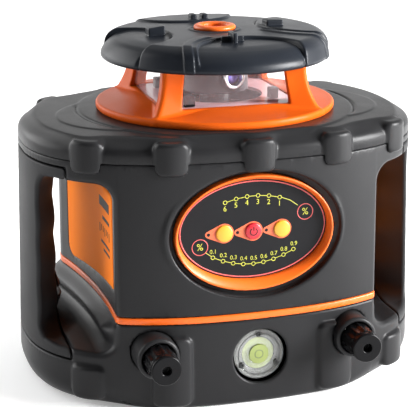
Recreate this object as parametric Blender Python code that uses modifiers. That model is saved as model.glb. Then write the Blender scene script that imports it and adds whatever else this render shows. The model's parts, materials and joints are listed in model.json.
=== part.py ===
"""Self-levelling rotary laser level with two grade knobs. Metres, +Z up.

The instrument stands on Z = 0, its control panel faces -Y and its two carrying handles are at -X and
+X. Every part hangs on one empty on the rotor's axis, so the coordinates below count from that axis.
The empty sits AXIS_Y behind the origin, which is the middle of the outline on the ground.
"""

from math import cos, pi, radians, sin, sqrt, tau

import bmesh
import bpy
from mathutils import Matrix, Vector

# Driving dimensions.
AXIS_Y = 0.0100
GAP = 0.0003
WALL = 0.003

# Plan of the housing: a superellipse, a little wider at the foot than at the top.
HALF_WIDTH = 0.1185
HALF_DEPTH = 0.0832
WIDTH_DRAFT = 0.022
DEPTH_DRAFT = 0.012
SQUARENESS = 2.44

# Plan of the core between the two hand openings: its side walls are shallow cylinders.
RECESS_HALF_WIDTH = 0.0755
RECESS_MIDDLE_Y = -0.038
RECESS_RADIUS = 0.389
FRONT_CORNER_SHARPNESS = 34
REAR_CORNER_SHARPNESS = 12

# Levels from the ground up.
FLOOR = 0.0035
HANDLE_FOOT = 0.0262
HANDLE_TOP = 0.1360
SILL_TOP = 0.0328
TRIM_LOW = 0.0504
TRIM_HIGH = 0.0542
OPENING_LOW = 0.0315
OPENING_HIGH = 0.1290
LINTEL_LOW = 0.1286
COVER_LOW = 0.1410
COVER_TOP = 0.1554
CAGE_LOW = 0.1557
DECK_LEVEL = 0.1605
CAGE_TOP = 0.1865
CAP_LOW = 0.1862
PIVOT_LEVEL = 0.1080
EAR_HALF_WIDTH = 0.0990

# Hand grips.
GRIP_INNER = 0.0965
GRIP_EDGE = 0.1160
GRIP_HALF_DEPTH = 0.034
FINGER_PITCH = 0.024
FINGER_DEPTH = 0.0016
OPENING_CORNER = 0.010

# Head.
FLANGE_RADIUS = 0.070
TOWER_HALF = 0.0425
TOWER_SQUARENESS = 16
PANE_DISTANCE = 0.0405
CAP_RADIUS = 0.066
SIGHT_DISTANCE = 0.0356
ROTOR_RADIUS = 0.0195
LENS_LEVEL = 0.1750
LENS_HEADING = radians(14)

# Rotor drive.
MOTOR_Y = 0.036
MOTOR_PULLEY_RADIUS = 0.0050
DRIVE_PULLEY_RADIUS = 0.0150

# Control panel.
PANEL_LEVEL = 0.0992
BEZEL_HALF_WIDTH = 0.0457
BEZEL_HALF_HEIGHT = 0.0330
FACE_HALF_WIDTH = 0.0430
FACE_HALF_HEIGHT = 0.0284
FACE_RISE = 0.0012
BEZEL_FRONT = -0.0792
FACE_FRONT = -0.0745
BUTTON_SPACING = 0.0167
BUTTON_RADIUS = 0.0048

# Front controls.
VIAL_X = 0.0024
VIAL_LEVEL = 0.0280
VIAL_RADIUS = 0.0148
KNOB_X = 0.0577
KNOB_LEVEL = 0.0348
KNOB_TIP = -0.1050

SIDES = (("left", -1), ("right", 1))


# ---------------------------------------------------------------- scene and materials


def clear_scene():
    for item in list(bpy.data.objects):
        bpy.data.objects.remove(item, do_unlink=True)


def new_collection(name):
    collection = bpy.data.collections.new(name)
    bpy.context.scene.collection.children.link(collection)
    return collection


def new_material(name, color, roughness, metallic=0.0, transmission=0.0):
    material = bpy.data.materials.new(name)
    material.use_nodes = True
    shader = material.node_tree.nodes["Principled BSDF"]
    shader.inputs["Base Color"].default_value = (*color, 1.0)
    shader.inputs["Roughness"].default_value = roughness
    shader.inputs["Metallic"].default_value = metallic
    shader.inputs["Transmission Weight"].default_value = transmission
    return material


clear_scene()
PARTS = new_collection("rotary_laser_level")
CUTTERS = new_collection("cutters")
ROOT = bpy.data.objects.new("rotor_axis", None)
ROOT.location = (0.0, AXIS_Y, 0.0)
PARTS.objects.link(ROOT)

RUBBER = new_material("charcoal_rubber", (0.035, 0.036, 0.038), 0.55)
SHELL = new_material("charcoal_plastic", (0.045, 0.046, 0.049), 0.45)
ORANGE = new_material("orange_plastic", (0.90, 0.20, 0.02), 0.35)
BLACK = new_material("black_plastic", (0.012, 0.012, 0.013), 0.40)
YELLOW = new_material("yellow_rubber", (0.90, 0.62, 0.05), 0.45)
RED = new_material("red_rubber", (0.75, 0.02, 0.03), 0.45)
GLASS = new_material("window_glass", (0.95, 0.90, 0.92), 0.03, transmission=1.0)
LENS_GLASS = new_material("coated_glass", (0.20, 0.18, 0.55), 0.03, transmission=0.6)
ALUMINIUM = new_material("cast_aluminium", (0.60, 0.61, 0.62), 0.35, 1.0)
STEEL = new_material("steel", (0.55, 0.55, 0.56), 0.25, 1.0)
BRASS = new_material("brass", (0.75, 0.55, 0.22), 0.25, 1.0)
BOARD = new_material("circuit_board", (0.02, 0.16, 0.07), 0.50)
FLUID = new_material("vial_fluid", (0.70, 0.90, 0.20), 0.10, transmission=0.4)
CLEAR = new_material("clear_acrylic", (0.93, 0.94, 0.94), 0.08, transmission=0.8)
PACK = new_material("battery_wrap", (0.06, 0.10, 0.20), 0.40)


# ---------------------------------------------------------------- shapes


def add(name, mesh, material=None, smooth=True):
    """A visible part where a material is given, and a cutter or a joined shape where none is."""
    item = bpy.data.objects.new(name, mesh)
    item.parent = ROOT
    if smooth:
        mesh.shade_smooth()
        mesh.set_sharp_from_angle(angle=radians(32))
    if material:
        mesh.materials.append(material)
        PARTS.objects.link(item)
    else:
        item.hide_render = True
        item.display_type = "WIRE"
        CUTTERS.objects.link(item)
    return item


def combine(target, other, operation):
    modifier = target.modifiers.new(f"{operation.lower()}_{other.name}", "BOOLEAN")
    modifier.operation = operation
    modifier.solver = "EXACT"
    modifier.object = other


def cut(target, *cutters):
    for cutter in cutters:
        combine(target, cutter, "DIFFERENCE")


def join(target, *others):
    for other in others:
        combine(target, other, "UNION")


def keep_inside(target, bounds):
    combine(target, bounds, "INTERSECT")


def loft(name, rings, material=None, closed=False):
    """Skin over rings of points. A closed loft joins the last ring to the first, as in a frame."""
    shape = bmesh.new()
    rows = [[shape.verts.new(point) for point in ring] for ring in rings]
    pairs = list(zip(rows, rows[1:]))
    if closed:
        pairs.append((rows[-1], rows[0]))
    for low, high in pairs:
        for i in range(len(low)):
            j = (i + 1) % len(low)
            shape.faces.new((low[i], low[j], high[j], high[i]))
    if not closed:
        shape.faces.new(rows[0][::-1])
        shape.faces.new(rows[-1])
    bmesh.ops.recalc_face_normals(shape, faces=shape.faces)
    if shape.calc_volume(signed=True) < 0:
        bmesh.ops.reverse_faces(shape, faces=shape.faces)
    mesh = bpy.data.meshes.new(name)
    shape.to_mesh(mesh)
    shape.free()
    return add(name, mesh, material)


def box(name, low, high, material=None, rounding=0.0, steps=1):
    """A box between two corners, its edges rounded by a Bevel where a rounding is given."""
    shape = bmesh.new()
    size = Vector(high) - Vector(low)
    bmesh.ops.create_cube(shape, size=1.0, matrix=Matrix.Diagonal((*size, 1.0)))
    mesh = bpy.data.meshes.new(name)
    shape.to_mesh(mesh)
    shape.free()
    item = add(name, mesh, material, smooth=False)
    item.location = (Vector(low) + Vector(high)) / 2
    if rounding:
        bevel = item.modifiers.new("rounding", "BEVEL")
        bevel.width = rounding
        bevel.segments = steps
    return item


def cylinder(name, radius, low, high, material=None, segments=20):
    """A cylinder between two points on its axis."""
    axis = Vector(high) - Vector(low)
    shape = bmesh.new()
    bmesh.ops.create_cone(
        shape,
        cap_ends=True,
        segments=segments,
        radius1=radius,
        radius2=radius,
        depth=axis.length,
    )
    mesh = bpy.data.meshes.new(name)
    shape.to_mesh(mesh)
    shape.free()
    item = add(name, mesh, material)
    item.location = (Vector(low) + Vector(high)) / 2
    item.rotation_euler = axis.to_track_quat("Z", "Y").to_euler()
    return item


def turned(name, profile, material=None, steps=18, ring=True):
    """A profile of (radius, height) swept round Z. A ring's profile closes on itself, and the others
    start and end on the axis. The profile runs down its outer side."""
    mesh = bpy.data.meshes.new(name)
    points = [(radius, 0.0, height) for radius, height in profile]
    edges = [(i, i + 1) for i in range(len(points) - 1)]
    if ring:
        edges.append((len(points) - 1, 0))
    mesh.from_pydata(points, edges, [])
    item = add(name, mesh, material, smooth=False)
    screw = item.modifiers.new("turn", "SCREW")
    screw.steps = steps
    screw.render_steps = steps
    screw.use_merge_vertices = True
    screw.merge_threshold = 1e-5
    screw.use_smooth_shade = True
    return item


def facing_front(item, x, y, z):
    """Lays a turned part down so that the top of its profile points to -Y."""
    item.rotation_euler = (radians(90), 0.0, 0.0)
    item.location = (x, y, z)
    return item


# ---------------------------------------------------------------- plans of the housing


def body_radius(angle, z, inset=0.0):
    half_width = HALF_WIDTH - WIDTH_DRAFT * z - inset
    half_depth = HALF_DEPTH - DEPTH_DRAFT * z - inset
    along = abs(cos(angle) / half_width) ** SQUARENESS
    across = abs(sin(angle) / half_depth) ** SQUARENESS
    return (along + across) ** (-1 / SQUARENESS)


def recess_radius(angle, inset):
    """Distance from the axis to a recess wall, x = half width + (y - middle)^2 / (2 * radius)."""
    bend = 1 / (2 * RECESS_RADIUS)
    square = bend * sin(angle) ** 2
    linear = 2 * bend * RECESS_MIDDLE_Y * sin(angle) + abs(cos(angle))
    constant = RECESS_HALF_WIDTH - inset + bend * RECESS_MIDDLE_Y**2
    inside = linear**2 - 4 * square * constant
    if linear <= 0 or inside <= 0:
        return 1.0
    return 2 * constant / (linear + sqrt(inside))


def core_radius(angle, z, inset=0.0):
    sharpness = FRONT_CORNER_SHARPNESS if sin(angle) < 0 else REAR_CORNER_SHARPNESS
    outer = body_radius(angle, z, inset) ** -sharpness
    recess = recess_radius(angle, inset) ** -sharpness
    return (outer + recess) ** (-1 / sharpness)


def plan_ring(radius_at, z, inset=0.0, segments=48):
    angles = [tau * (i + 0.5) / segments for i in range(segments)]
    radii = [radius_at(angle, z, inset) for angle in angles]
    return [(r * cos(a), r * sin(a), z) for r, a in zip(radii, angles)]


def plan_solid(name, radius_at, sections, material=None, segments=48):
    """A solid through plan outlines, given as (height, inset) from the bottom up."""
    rings = [plan_ring(radius_at, z, inset, segments) for z, inset in sections]
    return loft(name, rings, material)


def plan_frame(name, radius_at, low, high, inner, outer, material=None, segments=48):
    """A band that follows a plan outline between two heights and two insets."""
    corners = ((low, outer), (high, outer), (high, inner), (low, inner))
    rings = [plan_ring(radius_at, z, inset, segments) for z, inset in corners]
    return loft(name, rings, material, closed=True)


def slab_between(name, half_width, low, high):
    return box(name, (-half_width, -0.2, low), (half_width, 0.2, high))


def bumper(name, x, front, width, low, high, proud, depth=0.012):
    """A rounded rubber pad on the housing's skin, square to it at the given x."""
    middle = (low + high) / 2
    half_width = HALF_WIDTH - WIDTH_DRAFT * middle
    half_depth = HALF_DEPTH - DEPTH_DRAFT * middle
    reach = (1 - abs(x / half_width) ** SQUARENESS) ** (1 / SQUARENESS)
    y = -front * half_depth * reach
    slope_x = abs(x / half_width) ** (SQUARENESS - 1) / half_width * (1 if x > 0 else -1)
    slope_y = reach ** (SQUARENESS - 1) / half_depth * -front
    normal = Vector((slope_x, slope_y, 0.0)).normalized()
    pad = box(
        name,
        (-width / 2, -proud, low),
        (width / 2, depth - proud, high),
        rounding=0.0030,
    )
    turn = Vector((0.0, -1.0, 0.0)).rotation_difference(normal)
    offset = normal * (proud - depth / 2)
    pad.location = (x + offset.x, y + offset.y, middle)
    pad.rotation_euler = turn.to_euler()
    return pad


# ---------------------------------------------------------------- housing


def knob_bores(name, radius):
    bores = []
    for side, s in SIDES:
        ends = ((s * KNOB_X, -0.1, KNOB_LEVEL), (s * KNOB_X, -0.06, KNOB_LEVEL))
        bores.append(cylinder(f"{name}_{side}", radius, *ends))
    return bores


def build_lower_housing():
    sections = (
        (0.0, 0.0115),
        (0.0012, 0.0075),
        (0.0042, 0.0035),
        (0.0090, 0.0010),
        (0.0150, 0.0),
        (HANDLE_FOOT - GAP, 0.0),
    )
    housing = plan_solid("lower_housing", body_radius, sections, RUBBER)
    core = plan_solid("lower_core", core_radius, ((0.015, 0.0), (TRIM_LOW - GAP, 0.0)))
    sill = plan_solid("sill", body_radius, ((0.018, 0.0002), (SILL_TOP, 0.0002)))
    keep_inside(sill, slab_between("sill_span", EAR_HALF_WIDTH, 0.0, 0.1))
    join(housing, core, sill)
    for front in (1, -1):
        for x in (-0.048, 0.048):
            rib = bumper(f"rib_{front}_{x}", x, front, 0.023, 0.003, 0.0432, 0.0045)
            join(housing, rib)
        for x in (-0.092, 0.092):
            pad = bumper(f"foot_bumper_{front}_{x}", x, front, 0.021, 0.005, 0.0246, 0.0035)
            join(housing, pad)
    hollow = plan_solid("base_hollow", body_radius, ((FLOOR, 0.0070), (0.0225, 0.0045)))
    shaft = plan_solid("core_hollow", core_radius, ((0.010, WALL), (0.080, WALL)))
    cut(housing, hollow, shaft)
    bosses = [
        cylinder(f"boss_{x}_{y}", 0.0045, (x, y, FLOOR - 0.001), (x, y, 0.0562), segments=12)
        for x in (-0.052, 0.052)
        for y in (-0.032, 0.032)
    ]
    join(housing, *bosses)
    bore = cylinder("tripod_bore", 0.0163, (0.0, 0.0, -0.01), (0.0, 0.0, 0.02))
    vial_ends = ((VIAL_X, -0.1, VIAL_LEVEL), (VIAL_X, -0.06, VIAL_LEVEL))
    vial = cylinder("vial_bore", VIAL_RADIUS + 0.0010, *vial_ends)
    cut(housing, bore, vial, *knob_bores("knob_bore", 0.0123))


def build_tripod_bush():
    profile = (
        (0.0079, 0.0160),
        (0.0120, 0.0160),
        (0.0120, 0.0080),
        (0.0200, 0.0080),
        (0.0200, FLOOR + GAP),
        (0.0160, FLOOR + GAP),
        (0.0160, 0.0004),
        (0.0079, 0.0004),
    )
    turned("tripod_bush", profile, BRASS)


def build_trim_band():
    plan_frame("trim_band", core_radius, TRIM_LOW, TRIM_HIGH, 0.0026, -0.0003, ORANGE)


def ellipse_ring(half_width, half_height, y, rise=0.0, segments=32):
    """An upright ellipse, this far above the middle of the bezel."""
    angles = [tau * i / segments for i in range(segments)]
    level = PANEL_LEVEL + rise
    return [(half_width * cos(a), y, level + half_height * sin(a)) for a in angles]


def ellipse_solid(name, half_width, half_height, front, back, material=None, rise=0.0):
    rings = [ellipse_ring(half_width, half_height, y, rise) for y in (front, back)]
    return loft(name, rings, material)


def battery_opening(name, half_width, low, high):
    return box(name, (-half_width, 0.055, low), (half_width, 0.1, high))


def build_main_housing():
    top = COVER_LOW - GAP
    housing = plan_solid(
        "main_housing", core_radius, ((TRIM_HIGH + GAP, 0.0), (0.1, 0.0), (top, 0.0)), RUBBER
    )
    lintel = plan_solid("lintel", body_radius, ((LINTEL_LOW, 0.0002), (top - 0.0001, 0.0002)))
    keep_inside(lintel, slab_between("lintel_span", EAR_HALF_WIDTH, 0.1, 0.2))
    ears = plan_solid("ears", body_radius, ((HANDLE_TOP + GAP, 0.0001), (top - 0.0002, 0.0001)))
    join(housing, lintel, ears)
    shaft = plan_solid("main_hollow", core_radius, ((0.040, WALL), (0.1, WALL), (0.180, WALL)))
    pocket = plan_solid("lintel_hollow", body_radius, ((LINTEL_LOW + WALL, WALL), (0.180, WALL)))
    keep_inside(pocket, slab_between("pocket_span", EAR_HALF_WIDTH - WALL, 0.1, 0.2))
    cut(housing, shaft, pocket)
    join(housing, ellipse_solid("panel_boss", 0.0520, 0.0390, -0.0782, -0.0695))
    cut(
        housing,
        ellipse_solid("panel_pocket", 0.0482, 0.0350, -0.1, -0.0758),
        ellipse_solid("panel_hole", BEZEL_HALF_WIDTH + GAP, BEZEL_HALF_HEIGHT + GAP, -0.1, -0.06),
        battery_opening("battery_hole", 0.0528, 0.0610, 0.1180),
    )


def build_top_cover():
    sections = (
        (COVER_LOW, 0.0),
        (0.1490, 0.0003),
        (0.1520, 0.0019),
        (0.1541, 0.0050),
        (COVER_TOP, 0.0105),
    )
    cover = plan_solid("top_cover", body_radius, sections, RUBBER)
    for front in (1, -1):
        for x in (-0.090, -0.047, 0.0, 0.047, 0.090):
            width = 0.0205 if abs(x) < 0.050 else 0.0190
            pad = bumper(f"cover_bumper_{front}_{x}", x, front, width, 0.1348, 0.1515, 0.0031)
            join(cover, pad)
    below = plan_solid("skin_below", body_radius, ((0.120, -GAP), (COVER_LOW, -GAP)))
    ceiling = ((0.130, 0.0035), (0.1490, 0.0035), (0.1522, 0.0090))
    hollow = plan_solid("cover_hollow", body_radius, ceiling)
    hole = cylinder("cover_hole", 0.0560, (0.0, 0.0, 0.14), (0.0, 0.0, 0.17), segments=48)
    cut(cover, below, hollow, hole)


# ---------------------------------------------------------------- handles


def corner_offset(distance):
    """How far a rounded corner of the opening has closed in, this far from its end."""
    if distance >= OPENING_CORNER:
        return 0.0
    return OPENING_CORNER - sqrt(OPENING_CORNER**2 - (OPENING_CORNER - distance) ** 2)


def grip_section(z, low, high):
    """The plan of the hand opening at one height, as (|x|, y): the grip's inner curve, then the core."""
    closing = corner_offset(min(z - low, high - z))
    wave = FINGER_DEPTH * cos(tau * (z - PANEL_LEVEL) / FINGER_PITCH)
    reach = [-0.060] + [GRIP_HALF_DEPTH * i / 6 for i in range(-6, 7, 2)] + [0.060]
    curve = []
    for y in reach:
        bulge = cos(pi / 2 * min(1.0, abs(y) / GRIP_HALF_DEPTH))
        curve.append((GRIP_EDGE - (GRIP_EDGE - GRIP_INNER + wave) * bulge - closing, y))
    return curve + [(0.070, 0.060), (0.070, -0.060)]


def build_handle(side, s):
    name = f"handle_{side}"
    handle = plan_solid(
        name,
        body_radius,
        ((HANDLE_FOOT, 0.0), (HANDLE_TOP, 0.0)),
        RUBBER,
    )
    reach = (EAR_HALF_WIDTH + GAP, 0.2)
    x_low, x_high = sorted(s * x for x in reach)
    keep_inside(handle, box(f"{name}_span", (x_low, -0.1, 0.0), (x_high, 0.1, 0.2)))
    corner_steps = (0.0, 0.0008, 0.0030, 0.0060)
    steps = int((OPENING_HIGH - OPENING_LOW - 2 * OPENING_CORNER) / (FINGER_PITCH / 4))
    levels = [OPENING_LOW + step for step in corner_steps]
    for i in range(steps + 1):
        span = OPENING_HIGH - OPENING_LOW - 2 * OPENING_CORNER
        levels.append(OPENING_LOW + OPENING_CORNER + span * i / steps)
    levels += [OPENING_HIGH - step for step in reversed(corner_steps)]
    rings = []
    for z in levels:
        section = grip_section(z, OPENING_LOW, OPENING_HIGH)
        rings.append([(s * x, y, z) for x, y in section])
    cut(handle, loft(f"{name}_opening", rings))


def build_side_label(side, s):
    """A thin plate on the recess wall, its lower edge slanting down towards the back."""
    name = f"side_label_{side}"
    label = plan_frame(name, core_radius, 0.050, 0.128, -0.0003, -0.0010, ORANGE)
    outline = (
        (-0.0640, 0.0740),
        (-0.0640, 0.1270),
        (0.0400, 0.1270),
        (0.0400, 0.0680),
        (0.0280, 0.0600),
        (-0.0080, 0.0640),
    )
    rings = [[(s * x, y, z) for y, z in outline] for x in (0.060, 0.100)]
    keep_inside(label, loft(f"{name}_outline", rings))


# ---------------------------------------------------------------- control panel


def build_panel():
    rings = [
        ellipse_ring(BEZEL_HALF_WIDTH, BEZEL_HALF_HEIGHT, BEZEL_FRONT),
        ellipse_ring(BEZEL_HALF_WIDTH - 0.0010, BEZEL_HALF_HEIGHT - 0.0010, BEZEL_FRONT - 0.0004),
        ellipse_ring(FACE_HALF_WIDTH + GAP, FACE_HALF_HEIGHT + GAP, FACE_FRONT, FACE_RISE),
        ellipse_ring(FACE_HALF_WIDTH + GAP, FACE_HALF_HEIGHT + GAP, FACE_FRONT + 0.0015, FACE_RISE),
        ellipse_ring(FACE_HALF_WIDTH - 0.003, FACE_HALF_HEIGHT - 0.003, FACE_FRONT + 0.0015, FACE_RISE),
        ellipse_ring(FACE_HALF_WIDTH - 0.003, FACE_HALF_HEIGHT - 0.003, -0.0700, FACE_RISE),
        ellipse_ring(BEZEL_HALF_WIDTH, BEZEL_HALF_HEIGHT, -0.0700),
    ]
    loft("panel_bezel", rings, ORANGE, closed=True)
    size = (FACE_HALF_WIDTH, FACE_HALF_HEIGHT)
    back = FACE_FRONT + 0.0012
    face = ellipse_solid("panel_face", *size, FACE_FRONT, back, BLACK, FACE_RISE)
    buttons = (("button_left", -1, YELLOW), ("button_power", 0, RED), ("button_right", 1, YELLOW))
    for name, place, material in buttons:
        x = place * BUTTON_SPACING
        ends = ((x, -0.08, PANEL_LEVEL), (x, -0.07, PANEL_LEVEL))
        cut(face, cylinder(f"{name}_hole", BUTTON_RADIUS + GAP, *ends))
        profile = (
            (0.0, 0.0016),
            (0.0030, 0.0014),
            (0.0043, 0.0009),
            (BUTTON_RADIUS, 0.0),
            (BUTTON_RADIUS, -0.0018),
            (0.0062, -0.0018),
            (0.0062, -0.0030),
            (0.0, -0.0030),
        )
        facing_front(turned(name, profile, material, steps=16, ring=False), x, FACE_FRONT, PANEL_LEVEL)


def build_control_board():
    board = box("control_board", (-0.037, -0.0672, 0.078), (0.037, -0.0656, 0.121), BOARD)
    for place in (-1, 0, 1):
        x = place * BUTTON_SPACING
        low = (x - 0.003, -0.0695, PANEL_LEVEL - 0.003)
        high = (x + 0.003, -0.0660, PANEL_LEVEL + 0.003)
        join(board, box(f"switch_{place}", low, high))
    join(board, box("processor", (-0.010, -0.0665, 0.082), (0.010, -0.0635, 0.092)))


# ---------------------------------------------------------------- vial


def build_vial():
    """A circular vial that faces the front, for use with the instrument laid on its back."""
    front = -0.0795
    carrier_profile = (
        (0.0098, -0.0016),
        (VIAL_RADIUS, -0.0016),
        (VIAL_RADIUS, -0.0120),
        (0.0060, -0.0120),
        (0.0060, -0.0100),
        (0.0098, -0.0100),
    )
    place = (VIAL_X, front, VIAL_LEVEL)
    carrier = facing_front(turned("vial_carrier", carrier_profile, ALUMINIUM), *place)
    cover_profile = (
        (0.0060, 0.0004),
        (0.0130, 0.0004),
        (VIAL_RADIUS - 0.0002, -0.0004),
        (VIAL_RADIUS - 0.0002, -0.0013),
        (0.0060, -0.0013),
    )
    cover = facing_front(turned("vial_cover", cover_profile, CLEAR), *place)
    capsule_profile = (
        (0.0, 0.0002),
        (0.0055, -0.0002),
        (0.0055, -0.0020),
        (0.0094, -0.0022),
        (0.0094, -0.0090),
        (0.0, -0.0090),
    )
    facing_front(turned("vial_capsule", capsule_profile, FLUID, ring=False), *place)
    for number, heading in enumerate((90, 210, 330), start=1):
        x = VIAL_X + 0.0118 * cos(radians(heading))
        z = VIAL_LEVEL + 0.0118 * sin(radians(heading))
        ends = ((x, -0.09, z), (x, -0.074, z))
        hole = cylinder(f"vial_screw_hole_{number}", 0.0019, *ends, segments=12)
        cut(carrier, hole)
        cut(cover, hole)
        head = ((0.0, 0.0002), (0.0012, 0.0002), (0.0016, -0.0004), (0.0016, -0.0050), (0.0, -0.0050))
        screw = turned(f"vial_screw_{number}", head, STEEL, steps=12, ring=False)
        facing_front(screw, x, front, z)


# ---------------------------------------------------------------- grade knobs


def build_grade_knob(side, s):
    x = s * KNOB_X
    collar_profile = (
        (0.0096, 0.0120),
        (0.0110, 0.0120),
        (0.0120, 0.0108),
        (0.0120, -0.0055),
        (0.0096, -0.0055),
    )
    collar = turned(f"knob_collar_{side}", collar_profile, SHELL)
    facing_front(collar, x, -0.0765, KNOB_LEVEL)
    flutes = 10
    rings = []
    for depth, radius, flute in (
        (0.0190, 0.0090, 0.0007),
        (0.0060, 0.0090, 0.0007),
        (0.0045, 0.0086, 0.0),
        (0.0010, 0.0084, 0.0),
        (0.0, 0.0076, 0.0),
    ):
        angles = [tau * i / (flutes * 3) for i in range(flutes * 3)]
        ring = []
        for angle in angles:
            r = radius - flute * (1 - cos(flutes * angle))
            ring.append((r * cos(angle), r * sin(angle), -depth))
        rings.append(ring)
    knob = loft(f"grade_knob_{side}", rings, BLACK)
    facing_front(knob, x, KNOB_TIP, KNOB_LEVEL)
    dimple_ends = ((x, -0.12, KNOB_LEVEL), (x, -0.1005, KNOB_LEVEL))
    socket_ends = ((x, -0.0965, KNOB_LEVEL), (x, -0.07, KNOB_LEVEL))
    dimple = cylinder(f"knob_dimple_{side}", 0.0026, *dimple_ends)
    socket = cylinder(f"knob_socket_{side}", 0.0029, *socket_ends)
    cut(knob, dimple, socket)
    shaft = cylinder(f"grade_shaft_{side}", 0.0025, (0, 0, 0), (0, 0, 0.046), STEEL)
    facing_front(shaft, x, -0.0730, KNOB_LEVEL)


# ---------------------------------------------------------------- head


def tower_radius(angle, z, inset=0.0):
    half = TOWER_HALF - 0.10 * (z - DECK_LEVEL) - inset
    spread = abs(cos(angle)) ** TOWER_SQUARENESS + abs(sin(angle)) ** TOWER_SQUARENESS
    return half * spread ** (-1 / TOWER_SQUARENESS)


def circle_ring(radius, z, segments=48):
    return [
        (radius * cos(tau * (i + 0.5) / segments), radius * sin(tau * (i + 0.5) / segments), z)
        for i in range(segments)
    ]


def build_lantern_cage():
    outer = [
        circle_ring(FLANGE_RADIUS - 0.0012, CAGE_LOW),
        circle_ring(FLANGE_RADIUS, CAGE_LOW + 0.0013),
        circle_ring(FLANGE_RADIUS, CAGE_LOW + 0.0030),
        circle_ring(FLANGE_RADIUS - 0.0016, CAGE_LOW + 0.0044),
        plan_ring(tower_radius, 0.1630, -0.0030),
        plan_ring(tower_radius, 0.1645),
        plan_ring(tower_radius, CAGE_TOP),
    ]
    cage = loft("lantern_cage", outer, ORANGE)
    for i in range(4):
        heading = radians(45 + 90 * i)
        profile = (
            (0.0450, 0.1575),
            (0.0685, 0.1582),
            (0.0640, 0.1660),
            (0.0605, 0.1760),
            (0.0590, 0.1860),
            (0.0450, 0.1860),
        )
        rings = [[(r, y, z) for r, z in profile] for y in (-0.0040, 0.0040)]
        fin = loft(f"post_fin_{i}", rings)
        fin.rotation_euler = (0.0, 0.0, heading)
        join(cage, fin)
    inner = loft(
        "lantern_hollow",
        [circle_ring(0.0570, 0.150), circle_ring(0.0570, 0.1580)]
        + [plan_ring(tower_radius, 0.1600, 0.0025), plan_ring(tower_radius, 0.2, 0.0025)],
    )
    cut(cage, inner)
    for i in range(4):
        heading = radians(90 * i)
        outline = ((-0.0310, 0.1648), (0.0310, 0.1648), (0.0285, 0.1835), (-0.0285, 0.1835))
        rings = [[(x, y, z) for x, z in outline] for y in (-0.055, -0.030)]
        opening = loft(f"window_opening_{i}", rings)
        opening.rotation_euler = (0.0, 0.0, heading)
        cut(cage, opening)


def build_windows():
    names = ("window_front", "window_right", "window_rear", "window_left")
    for i, name in enumerate(names):
        rings = []
        for back in (0.0, 0.0014):
            ring = []
            for x, z in ((-0.0307, 0.1651), (0.0307, 0.1651), (0.0282, 0.1832), (-0.0282, 0.1832)):
                distance = PANE_DISTANCE + 0.0008 - 0.10 * (z - DECK_LEVEL) - back
                ring.append((x, -distance, z))
            rings.append(ring)
        pane = loft(name, rings, GLASS)
        pane.rotation_euler = (0.0, 0.0, radians(90 * i))


def build_lantern_deck():
    levels = ((DECK_LEVEL, 0.0031), (DECK_LEVEL + 0.0018, 0.0031))
    deck = plan_solid("lantern_deck", tower_radius, levels, ALUMINIUM)
    cut(deck, cylinder("deck_hole", 0.0280, (0, 0, 0.15), (0, 0, 0.17), segments=48))
    top = DECK_LEVEL + 0.0018 + GAP
    box("remote_sensor", (-0.0285, -0.0365, top), (-0.0220, -0.0315, top + 0.0065), BLACK, 0.0006)
    for side, s in SIDES:
        x, y = s * 0.0280, s * -0.0240
        low = (x - 0.0027, y - 0.0027, top)
        high = (x + 0.0027, y + 0.0027, top + 0.0062)
        box(f"deck_post_{side}", low, high, ALUMINIUM, 0.0005)


def build_head_cap():
    profile = (
        (0.0103, 0.2004),
        (0.0300, 0.1998),
        (0.0440, 0.1989),
        (0.0550, 0.1981),
        (0.0612, 0.1965),
        (0.0648, 0.1936),
        (CAP_RADIUS, 0.1900),
        (0.0655, 0.1870),
        (0.0640, CAP_LOW),
        (0.0620, 0.1868),
        (0.0440, 0.1868),
        (0.0440, 0.1946),
        (0.0103, 0.1964),
    )
    cap = turned("head_cap", profile, RUBBER, steps=36)
    pad_profile = (
        (0.0440, 0.2001),
        (0.0560, 0.1992),
        (0.0622, 0.1972),
        (0.0640, 0.1940),
        (0.0640, 0.1905),
        (0.0440, 0.1960),
    )
    pads = turned("cap_pads", pad_profile, steps=36)
    for i in range(4):
        heading = radians(20 + 90 * i)
        slot = box(f"cap_slot_{i}", (0.040, -0.0040, 0.18), (0.070, 0.0040, 0.21))
        slot.location = Vector((0.055 * cos(heading), 0.055 * sin(heading), 0.195))
        slot.rotation_euler = (0.0, 0.0, heading)
        cut(pads, slot)
    join(cap, pads)
    for i in range(4):
        heading = radians(90 * i)
        sight = box(f"sight_{i}", (-0.0038, -0.0038, 0.0), (0.0038, 0.0038, 0.0085), rounding=0.0008)
        sight.location = (SIGHT_DISTANCE * cos(heading), SIGHT_DISTANCE * sin(heading), 0.2002)
        join(cap, sight)
    notch_low = (-0.0011, SIGHT_DISTANCE - 0.01, 0.2010)
    notch_high = (0.0011, SIGHT_DISTANCE + 0.01, 0.21)
    cut(cap, box("sight_notch", notch_low, notch_high))


def build_cap_ring():
    profile = (
        (0.0062, 0.2014),
        (0.0112, 0.2022),
        (0.0127, 0.2012),
        (0.0127, 0.2007),
        (0.0099, 0.2007),
        (0.0099, 0.1915),
        (0.0050, 0.1915),
        (0.0050, 0.1930),
        (0.0062, 0.1930),
    )
    turned("cap_ring", profile, ORANGE, steps=18)
    pane = ((0.0, 0.1950), (0.0059, 0.1950), (0.0059, 0.1933), (0.0, 0.1933))
    turned("zenith_window", pane, GLASS, steps=18, ring=False)


# ---------------------------------------------------------------- rotor


def along_lens(distance):
    """A point on the lens axis, this far from the rotor's axis."""
    return (distance * sin(LENS_HEADING), -distance * cos(LENS_HEADING), LENS_LEVEL)


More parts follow.
